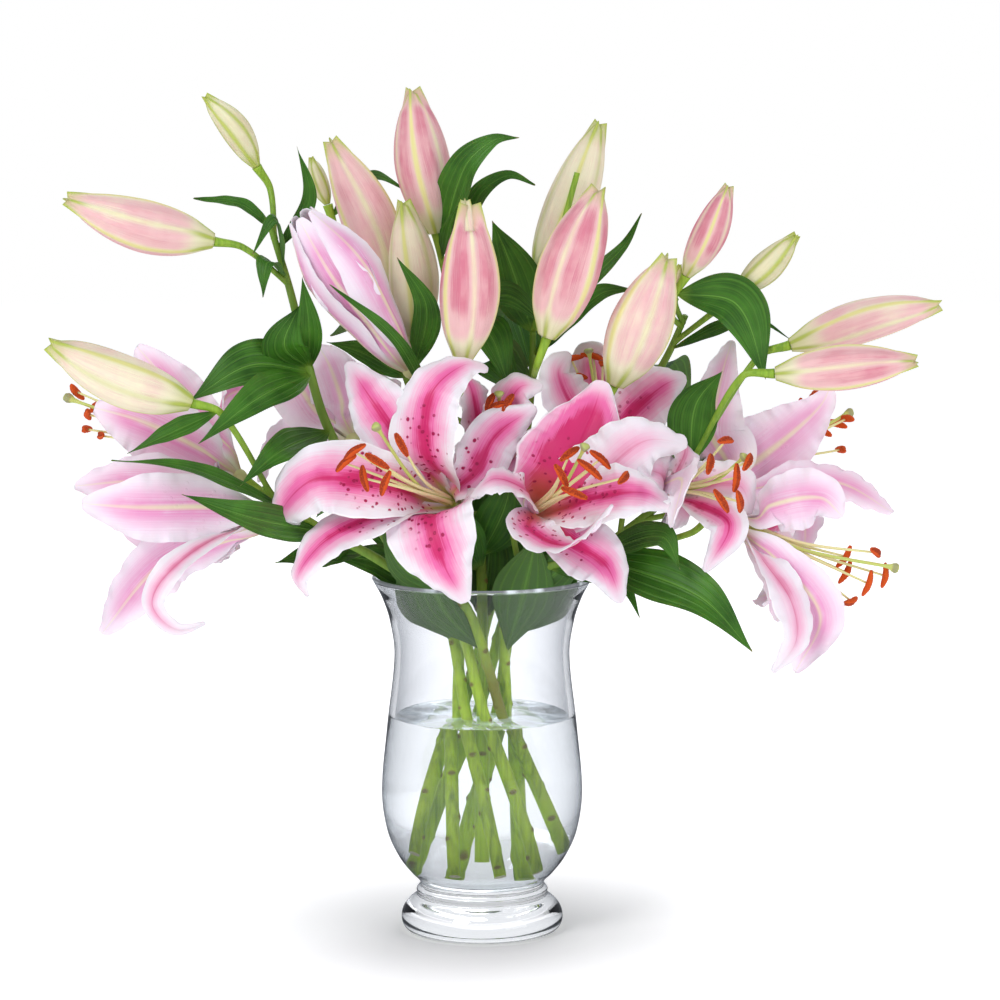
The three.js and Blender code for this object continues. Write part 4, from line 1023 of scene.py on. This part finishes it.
standing = np.array(HALF_OPEN["tip"], float) - HALF_OPEN["at"]
length = np.linalg.norm(standing)
cone = dict(at=HALF_OPEN["at"], dir=standing, pink=0.8, spots=0.4, warm=0.0)
draw = draws(77)
skins = [heart_skin(cone)]
for place in range(6):
    spread = HALF_OPEN["width"] * (HALF_OPEN["inner"] if place % 2 == 0 else 1)
    to = [around_bloom(cone, place * 60, s * length, r * spread) for s, r in HALF_OPEN_PLACES]
    skins.append(petal_skin(cone, dict(HALF_OPEN_PETAL, to=to), draw, 1000 + place))
piece("bloom_K_tepals", skins, petal_material, ["bloom_K_half_open"])

# The stems and leaves -----------------------------------------------------------------
# Nine green stalks crossing at the vase's neck, stripped of leaves below it so that only
# scars are left. Each carries flower stalks and narrow leaves with parallel veins.

WAIST_HEIGHT = 160
WAIST_RADIUS = 17
STRAIGHT_TO = 225
STEM_AROUND = 20
STEM_ROWS = 230
STEM_RADIUS = 3.9
STALK_AROUND = 16
STALK_ROWS = 60
STALK_SWELL = 3.6
STALK_ARCH = 22
BUD_SEAT = 0.35
BLOOM_SEAT = 4.35
LEAF_OFF_STALK = 0.8
LEAF_OFF_STEM = 1.6
LEAF_THICK = 0.8
LEAF_COLUMNS = 21
LEAF_ROWS = 44
LEAF_VEINS = 19.0
SCAR_EVERY = 15
SCAR_TOP = 262
BROWN_AT = (170, 45)
STALK_GREEN = (0.13, 0.27, 0.018, 1)
STALK_LIGHT = (0.22, 0.38, 0.04, 1)
STALK_FRESH_AND_LIT = (0.62, 0.9, 0.04, 1)
STALK_DULL = (0.14, 0.3, 0.01, 1)
SCAR_BROWN = (0.2, 0.1, 0.025, 1)
CUT_PITH = (0.6, 0.56, 0.3, 1)
LEAF_DEEP = (0.017, 0.075, 0.006, 1)
LEAF_BRIGHT = (0.07, 0.24, 0.016, 1)
LEAF_VEIN = (0.14, 0.34, 0.045, 1)
LEAF_BACK = (0.075, 0.16, 0.04, 1)
LEAF_DRY = (0.4, 0.33, 0.14, 1)


def leaf(start, width, tilt, *to, belly=0.8):
    """A leaf from a height on its stem, or from a share of the way up a flower stalk,
    through its places. Tilt is how far its upper face turns from the sky to the front."""
    return dict(start=start, width=width, tilt=tilt, to=to, belly=belly)


def stalk(height, head, **more):
    """A flower stalk from a height on its stem to the head that it carries."""
    return dict(height=height, head=head, **more)


# Stems: the angle at which each touches the circle at the waist, the height of its foot,
# its lean, the places it runs through above the neck, its flower stalks and its leaves.
STEMS = [
    dict(waist=225, foot=49, lean=0.3,
        to=[(-60, 6, 265), (-95, -2, 330), (-112, -8, 370), (-132, -12, 451), (-146, -15, 499)],
        branches=[
            stalk(455, "b2"), stalk(485, "b1"), stalk(290, "J"),
        ], leaves=[
            leaf(236, 28, 60, (-72, -16, 262), (-104, -30, 268)),
            leaf(204, 27, -80, (-40, -22, 230), (-60, -30, 262), belly=1.1),
            leaf(494, 9, 50, (-165, -20, 510), (-197, -24, 514)),
            leaf(478, 9, 80, (-118, -14, 513), (-126, -22, 550)),
            leaf(462, 10, 50, (-141, -28, 500), (-156, -34, 476)),
            leaf(458, 14, 50, (-146, -30, 471), (-149, -38, 447)),
            leaf(396, 30, 80, (-135, -30, 414), (-124, -34, 442)),
            leaf(396, 16, 80, (-118, -34, 430), (-122, -40, 462)),
            leaf(394, 34, 60, (-158, -38, 401), (-198, -48, 378)),
            leaf(392, 26, 60, (-150, -72, 382), (-190, -100, 353)),
            leaf(352, 24, 60, (-138, -68, 344), (-163, -86, 323)),
            leaf(300, 34, -30, (-98, 50, 300), (-120, 86, 280)),
        ]),
    dict(waist=270, foot=50, lean=0.3, to=[(-70, -30, 265), (-115, -45, 292), (-150, -52, 318)],
        branches=[
            stalk(285, "H"), stalk(295, "I"), stalk(312, "b3"),
        ], leaves=[
            leaf(("b3", 0.8), 13, 50, (-209, -94, 360), (-237, -100, 347)),
            leaf(300, 12, 40, (-194, -104, 338), (-247, -118, 345)),
            leaf(285, 24, 60, (-155, -104, 305), (-199, -130, 324)),
            leaf(270, 24, 40, (-108, -20, 268), (-143, -26, 263)),
        ]),
    dict(waist=315, foot=62, lean=0.4, radius=3.8, brown=1.0,
        to=[(-26, -40, 262), (-10, -28, 286)], branches=[
            stalk(280, "A"),
        ], leaves=[
            leaf(262, 30, 80, (-36, 10, 300), (-54, 22, 332)),
            leaf(200, 36, -90, (-28, -36, 236), (-38, -40, 284), belly=1.25),
            leaf(240, 22, -70, (-54, -42, 262), (-70, -40, 290)),
        ]),
    dict(waist=180, foot=49, lean=0.3, to=[(-30, 34, 300), (-48, 36, 370), (-70, 38, 430)],
        branches=[
            stalk(340, "K"), stalk(390, "b5"), stalk(425, "b6"), stalk(350, "b7"),
        ], leaves=[
            leaf(236, 30, 60, (-50, 24, 264), (-86, 26, 280)),
            leaf(222, 36, 85, (-16, 22, 262), (-24, 22, 300)),
            leaf(270, 34, 80, (-10, 20, 310), (4, 14, 346)),
            leaf(("b6", 0.9), 11, 50, (-78, 50, 526), (-52, 44, 516)),
            leaf(("b7", 0.8), 18, 90, (-38, -26, 440), (-58, -34, 475)),
            leaf(("K", 0.7), 9, 60, (-60, -52, 422), (-103, -68, 459)),
            leaf(385, 18, 60, (-82, 10, 405), (-108, -2, 414)),
            leaf(380, 32, -20, (-80, 70, 420), (-110, 96, 410)),
        ]),
    dict(waist=None, foot=58, lean=0,
        to=[(0, 0, 240), (-4, 26, 300), (-12, 30, 370), (-20, 26, 430)], branches=[
            stalk(425, "b4"), stalk(352, "b8", by=[(-31, 4, 368)]), stalk(290, "C"),
        ], leaves=[
            leaf(252, 30, 85, (-18, -14, 288), (-26, -18, 322)),
            leaf(218, 34, 85, (5, 12, 262), (6, 16, 300)),
            leaf(262, 32, 85, (16, -12, 300), (22, -18, 334)),
            leaf(("b4", 0.8), 26, 60, (-12, -8, 534), (8, -12, 553), (27, -12, 555)),
            leaf(("b4", 0.5), 18, 50, (-2, 12, 514), (18, 10, 528), (38, 12, 521)),
            leaf(("b4", 0.7), 9, 50, (-22, 0, 496), (-16, -8, 509)),
            leaf(420, 20, 60, (16, 0, 446), (47, -14, 424)),
            leaf(400, 30, 60, (4, 4, 420), (20, -6, 380)),
        ]),
    dict(waist=135, foot=62, lean=0.4, to=[(24, 40, 300), (34, 42, 370), (36, 42, 420)],
        branches=[
            stalk(415, "b10"), stalk(378, "b9"), stalk(290, "D"),
            stalk(418, "stub", end=(66, 12, 530), by=[(50, 14, 470)], swell=2),
        ], leaves=[
            leaf(240, 32, 60, (50, 24, 268), (84, 22, 292)),
            leaf(300, 34, 80, (60, 30, 330), (84, 24, 352)),
            leaf(415, 34, 80, (20, 20, 466), (7, 4, 498)),
            leaf(400, 20, 50, (82, 14, 446), (108, 4, 450)),
            leaf(418, 12, 60, (98, 40, 476), (112, 34, 502)),
            leaf(390, 34, -30, (20, 70, 430), (0, 96, 400)),
            leaf(380, 34, 80, (10, 34, 400), (30, 20, 372)),
        ]),
    dict(waist=90, foot=48, lean=0.3,
        to=[(60, 40, 290), (103, 60, 350), (130, 42, 400), (142, 24, 430)], branches=[
            stalk(422, "b12"), stalk(425, "b13"), stalk(410, "b14"),
        ], leaves=[
            leaf(262, 34, 80, (20, 34, 300), (10, 30, 332)),
            leaf(228, 36, 85, (30, 26, 262), (42, 24, 300)),
            leaf(("b13", 0.75), 34, 70, (176, -4, 440), (196, -16, 388)),
            leaf(405, 10, 50, (188, 14, 428), (216, 6, 414)),
            leaf(370, 34, -30, (130, 90, 390), (150, 116, 350)),
            leaf(340, 34, -30, (60, 84, 370), (50, 112, 350)),
        ]),
    dict(waist=45, foot=49, lean=0.3, to=[(80, -10, 268), (130, -14, 310), (160, -20, 360)],
        branches=[
            stalk(268, "b11", by=[(84, -22, 330)]), stalk(355, "b15"), stalk(340, "b16"),
            stalk(290, "F"),
        ], leaves=[
            leaf(330, 32, 90, (147, -24, 372), (165, -34, 397)),
            leaf(206, 29, -80, (46, -16, 232), (66, -22, 268), belly=1.1),
            leaf(300, 34, -20, (150, 30, 330), (170, 70, 310)),
        ]),
    dict(waist=0, foot=47, lean=0.28, to=[(34, -34, 256), (80, -44, 272), (120, -52, 284)],
        branches=[
            stalk(250, "B"), stalk(276, "E"), stalk(270, "G", by=[(142, -46, 286)], arch=8),
        ], leaves=[
            leaf(236, 28, 60, (60, -14, 258), (92, -20, 262)),
            leaf(270, 36, 60, (146, -90, 250), (183, -106, 213)),
            leaf(262, 12, 60, (96, -60, 252), (108, -70, 231)),
            leaf(240, 26, -80, (42, -34, 250), (74, -50, 282)),
            leaf(196, 40, -90, (26, -38, 234), (38, -44, 284), belly=1.25),
            leaf(272, 24, 60, (122, -78, 288), (134, -96, 268)),
        ]),
]


def stem_path(stem):
    """The middle one is upright. The others run straight up to the neck, each touching a
    circle there, and then bend to their heads."""
    if stem["waist"] is None:
        return [(0, 0, stem["foot"]), (0, 0, WAIST_HEIGHT), *stem["to"]]
    a = math.radians(stem["waist"])
    points = []
    for z in (stem["foot"], WAIST_HEIGHT, STRAIGHT_TO):
        run = (z - WAIST_HEIGHT) * stem["lean"]
        x = WAIST_RADIUS * math.cos(a) + run * math.sin(a)
        points.append((x, WAIST_RADIUS * math.sin(a) - run * math.cos(a), z))
    return [*points, *stem["to"]]


def at_height(points, height):
    """The first place on a path that is at least that high."""
    places = path_at(points, np.arange(0, 1.001, 0.002))
    return places[np.argmax(places[:, 2] >= height)]


def flower_stalk(points, branch):
    """A flower stalk's path, from its stem to the foot of its bud or bloom, which it
    meets head on."""
    start = at_height(points, branch["height"])
    by = [np.array(p, float) for p in branch.get("by", [])]
    if branch["head"] in BUDS:
        bud = BUDS[branch["head"]]
        base, tip = np.array(bud["base"], float), np.array(bud["tip"], float)
        along = unit((tip - base) / 2 + bud["bend"])
        end = base - along * BUD_SEAT
    elif branch["head"] == "stub":
        end = np.array(branch["end"], float)
        along = unit(end - by[-1])
    else:
        bloom = cone if branch["head"] == "K" else BLOOMS[branch["head"]]
        base, along, _, _ = bloom_frame(bloom)
        end = base - along * BLOOM_SEAT
    reach = min(np.linalg.norm(end - start) * 0.35, branch.get("arch", STALK_ARCH))
    return [start, *by, end - along * reach, end]


def stem_skin(stem, points, seed):
    """Rings whose radius tapers with the cube of the way up, with a low knob wherever a
    leaf was stripped off: a bell curve in height times a bell curve in angle. It carries
    place, which is the metres up, how brown it is, and 1 where it is cut."""
    frames = frames_along(points, STEM_ROWS)
    t, at, along = frames[:3]
    a = angles(STEM_AROUND)
    height = at[:, 2][:, None]
    radius = (stem.get("radius", STEM_RADIUS) * (1 - 0.45 * t**3))[:, None] * np.ones_like(a)
    own = np.random.default_rng(seed)
    scars = np.zeros_like(radius)
    turn = own.uniform(0, 6.28)
    for level in np.arange(stem["foot"] + 8, SCAR_TOP, SCAR_EVERY):
        z = level + own.uniform(-4, 4)
        turn += 2.4 + own.uniform(-0.3, 0.3)
        round_way = np.angle(np.exp(1j * (a - turn)))
        scars += np.exp(-(((height - z) / 2.2) ** 2)) * np.exp(-((round_way / 0.75) ** 2))
    radius = radius + 1.0 * scars + 0.07 * np.sin(5 * a + height / 9 + seed)
    rings = rings_around(frames, radius, STEM_AROUND)
    woody = np.exp(-(((height - BROWN_AT[0]) / BROWN_AT[1]) ** 2))
    woody = woody * stem.get("brown", 0) * 0.75
    place = np.stack(np.broadcast_arrays(height * MM, np.maximum(scars, woody), 0 * scars), -1)
    rim = at[0] + (rings[:1] - at[0]) * 0.86
    cut = place[:1] * (1, 0, 0) + (0, 0, 1)
    rings = np.concatenate([rim, rings])
    place = np.concatenate([cut, place])
    return skin(rings, at[0] + along[0] * 0.25, at[-1], place=place)


def stalk_skin(points, swell):
    """A flower stalk: slightly thicker at its foot, swelling under the bud or bloom. The
    last number of its place falls below 0, as its skin is fresher than a stem's."""
    frames = frames_along(points, STALK_ROWS)
    t, at = frames[:2]
    radius = 1.9 + 0.7 * np.exp(-t / 0.05) + 0.4 * t + (swell - 2.3) * t**6
    rings = rings_around(frames, radius, STALK_AROUND)
    place = np.stack([at[:, 2] * MM, 0 * t, -0.35 - 0.65 * t**2], -1)
    return skin(rings, at[0], at[-1], place=np.broadcast_to(place[:, None], rings.shape))


def leaf_skin(grown, start, seed):
    """A lance-shaped blade: its half width is a sine of a power of t, its sides rise
    beside a sunk middle vein, and its edges swing slightly up and down."""
    tilt = math.radians(grown["tilt"])
    facing = (0, -math.sin(tilt), math.cos(tilt))
    side = unit(np.cross(facing, grown["to"][-1] - start))
    frames = frames_along([start, *grown["to"]], LEAF_ROWS, side, end=PATH_END)
    middle, belly = grown["width"] / 2, grown["belly"]
    own = np.random.default_rng(seed)
    sway = own.uniform(0, 6.28)

    def half(t):
        return middle * 1.04 * np.sin(np.pi * t**belly) ** 1.25 + 1.1 * (1 - t)

    def lift(t, x):
        edge, far = np.abs(x), np.sin(np.pi * t)
        fold = 0.22 * half(t) * x * x + np.sin(7 * t + 2 * x + grown["width"]) * x * x
        veins = 0.12 * np.cos(edge * LEAF_VEINS - 1.57) * far * (1 - edge)
        small = 0.45 * np.sin(23 * t + sway + 2 * np.sign(x)) * edge**3 * far
        return fold + veins + small - 0.7 * np.exp(-((edge / 0.09) ** 2)) * far**0.5

    return blade(frames, half, lift, LEAF_THICK, LEAF_COLUMNS, seed=float(seed % 89))


def stalk_finish():
    """Smooth green skin with faint lengthwise streaks, lighter near the flowers, and lighter up
    to the vase's rim as painted light for the light the glass holds back; brown scars, and
    pale pith at the cut."""
    material, shader, m = finish("stalk", Subsurface_Weight=0.08, Subsurface_Scale=0.002)
    height, scar, light = m.mark("place")
    whole = m.object_place()
    x, y, z = whole.parts()
    streaks = m.noise(m.vector(x * 420.0, y * 420.0, z * 16.0), 1.0, 3.0)
    broad = m.noise(whole, 30.0)
    colour = (streaks * 0.9 + broad * 0.5 - 0.25).rise(0.0, 0.9).blend(STALK_GREEN, STALK_LIGHT)
    # Fresher green near the flowers; below the vase's rim the same brighter green is painted
    # light.
    fresh_and_painted_light = (0 - light).rise(0.0, 1.2, 0.35).most(height.fall(0.17, 0.27) * 0.9)
    fresh_and_lit_green = (streaks + broad - 0.5).rise(0.0, 0.75).blend(STALK_DULL, STALK_FRESH_AND_LIT)
    colour = fresh_and_painted_light.blend(colour, fresh_and_lit_green)
    colour = (scar + (streaks - 0.5) * 0.3).rise(0.35, 0.85, 0.8).blend(colour, SCAR_BROWN)
    light.rise(0.3, 0.7).blend(colour, CUT_PITH).into(shader, "Base Color")
    (0.36 + streaks * 0.2 + scar * 0.2).into(shader, "Roughness")
    m.bump(streaks, 0.0004, 0.4).into(shader, "Normal")
    return material


def leaf_finish():
    """Waxy green with fine parallel veins, a paler middle line and a grey-green back."""
    material, shader, m = finish("leaf", Subsurface_Weight=0.04, Subsurface_Scale=0.002,
                                 Specular_IOR_Level=0.35)
    t, x, above = m.mark("place")
    across, along, seed = m.mark("flat")
    out = abs(x)
    cloud = m.noise(m.vector(across, along, seed), 50.0)
    lines = m.noise(m.vector(x * 22.0, along * 9.0, seed), 1.0, 3.0)
    veins = ((out * LEAF_VEINS).wave() * 0.5 + 0.5) ** 9.0 * out.fall(0.85, 1.0)
    green = (cloud * 0.8 + lines * 0.8 - 0.4).rise(0.0, 0.85).blend(LEAF_DEEP, LEAF_BRIGHT)
    green = (veins * 0.25).blend(green, LEAF_VEIN)
    green = (out.fall(0.012, 0.045) * 0.75).blend(green, LEAF_VEIN)
    back = (lines * 0.8 + cloud * 0.5 - 0.2).rise(0.0, 1.0, 0.5).blend(LEAF_BACK, LEAF_BRIGHT)
    back = (veins * 0.4 + out.fall(0.02, 0.06) * 0.6).blend(back, LEAF_VEIN)
    both = above.rise(-0.2, 0.2).blend(back, green)
    both = (t.fall(0.0, 0.12) * 0.7).blend(both, STALK_LIGHT)
    dry = (t + (cloud - 0.5) * 0.06).rise(0.965, 0.995)
    (dry * 0.8).blend(both, LEAF_DRY).into(shader, "Base Color")
    (0.36 + cloud * 0.14 + above.fall(-0.2, 0.2) * 0.18).into(shader, "Roughness")
    m.bump(veins + lines * 0.5, 0.0006, 0.6).into(shader, "Normal")
    return material


stalk_material = stalk_finish()
leaf_material = leaf_finish()
for number, stem in enumerate(STEMS):
    points = stem_path(stem)
    stalks = {b["head"]: flower_stalk(points, b) for b in stem["branches"]}
    skins = [stem_skin(stem, points, number)]
    for branch in stem["branches"]:
        skins.append(stalk_skin(stalks[branch["head"]], branch.get("swell", STALK_SWELL)))
    node = f"stem_{number + 1}"
    piece(node + "_stalks", skins, stalk_material, [node])
    blades = []
    for place, grown in enumerate(stem["leaves"]):
        if isinstance(grown["start"], tuple):
            head, share = grown["start"]
            start, off = path_at(stalks[head], np.array([share]))[0], LEAF_OFF_STALK
        else:
            start, off = at_height(points, grown["start"]), LEAF_OFF_STEM
        start = start + unit(grown["to"][0] - start) * off
        blades.append(leaf_skin(grown, start, 20 * number + place))
    piece(node + "_leaves", blades, leaf_material, [node])

# The studio ---------------------------------------------------------------------------
# A white sweep that glows round the vase, and in rings under its foot as painted light
# that stands for the light the glass gathers, with three large soft lamps and a pale
# surround. Reflections see floor and surround as dark as cloth, which outlines the glass.

FLOOR_SIZE = 12.0
FLOOR_GAP = 0.1
FLOOR_WHITE = (0.9, 0.9, 0.9, 1)
FLOOR_GLOW = 0.56
FLOOR_GLOW_FROM = (0.02, 0.26)
FLOOR_PAINTED_LIGHT_UNDER_GLASS = (0.045, 0.062)
PAINTED_CAUSTIC_RING = (0.006, 0.026)
SURROUND_SEEN = (1.0, 1.0, 1.0, 1)
SURROUND_LOW = (0.72, 0.74, 0.79, 1)
SURROUND_HIGH = (0.5, 0.51, 0.54, 1)
SURROUND_THROUGH = (0.95, 0.965, 0.985, 1)
SURROUND_MIRRORED = (0.16, 0.17, 0.19, 1)
LAMPS_AIM = (0, 0, 0.32)
LAMPS = [
    ("key", (-1.4, -1.9, 2.1), 1.1, 30),
    ("fill", (2.0, -1.7, 1.1), 1.6, 14),
    ("back", (0.5, 1.7, 1.9), 1.4, 13),
]


def mirrored(m):
    """1 for what is seen as a reflection, and 0 for what is seen straight or through."""
    reflected = m.node("LightPath", {}, {}, "Is Glossy Ray")
    return reflected * (1 - m.node("LightPath", {}, {}, "Is Transmission Ray"))


flat = bpy.data.meshes.new("floor")
side, low = FLOOR_SIZE / 2, -FLOOR_GAP * MM
corners = [(-side, -side, low), (side, -side, low), (side, side, low), (-side, side, low)]
flat.from_pydata(corners, [], [(0, 1, 2, 3)])
floor_material, floor_shader, m = finish(
    "floor", Roughness=0.7, Emission_Strength=FLOOR_GLOW, Specular_IOR_Level=0.2,
)
far = m.node("VectorMath", {"operation": "LENGTH"}, {0: m.object_place()}, "Value")
# Painted caustic: the floor under the glass foot glows in rings.
rings = far.rise(*PAINTED_CAUSTIC_RING, 0.62) + 0.16
glow = far.rise(*FLOOR_GLOW_FROM).most(far.fall(*FLOOR_PAINTED_LIGHT_UNDER_GLASS) * rings)
in_mirror = mirrored(m)
glow = (glow * (1 - in_mirror)).blend(DARK, SURROUND_SEEN)
glow.into(floor_shader, "Emission Color")
in_mirror.blend(FLOOR_WHITE, SURROUND_MIRRORED).into(floor_shader, "Base Color")
flat.materials.append(floor_material)
floor = bpy.data.objects.new("floor", flat)
bpy.context.scene.collection.objects.link(floor)

for name, place, size, power in LAMPS:
    lamp = bpy.data.lights.new(name, "AREA")
    lamp.energy = power
    lamp.size = size
    held = bpy.data.objects.new(name, lamp)
    held.location = place
    aim = np.array(place) - LAMPS_AIM
    yaw = math.atan2(aim[0], -aim[1])
    held.rotation_euler = (math.atan2(math.hypot(aim[0], aim[1]), aim[2]), 0, yaw)
    bpy.context.scene.collection.objects.link(held)

world = bpy.data.worlds.new("surround")
bpy.context.scene.world = world
world.use_nodes = True
w = Socket(world.node_tree)
background = world.node_tree.nodes["Background"]
_, _, z = w.node("TexCoord", {}, {}, "Generated").parts()
lit = z.rise(-0.05, 0.6).blend(SURROUND_LOW, SURROUND_HIGH)
lit = w.node("LightPath", {}, {}, "Is Transmission Ray").blend(lit, SURROUND_THROUGH)
lit = mirrored(w).blend(lit, SURROUND_MIRRORED)
lit = w.node("LightPath", {}, {}, "Is Camera Ray").blend(lit, SURROUND_SEEN)
lit.into(background, "Color")
bpy.context.scene.view_settings.view_transform = "Standard"
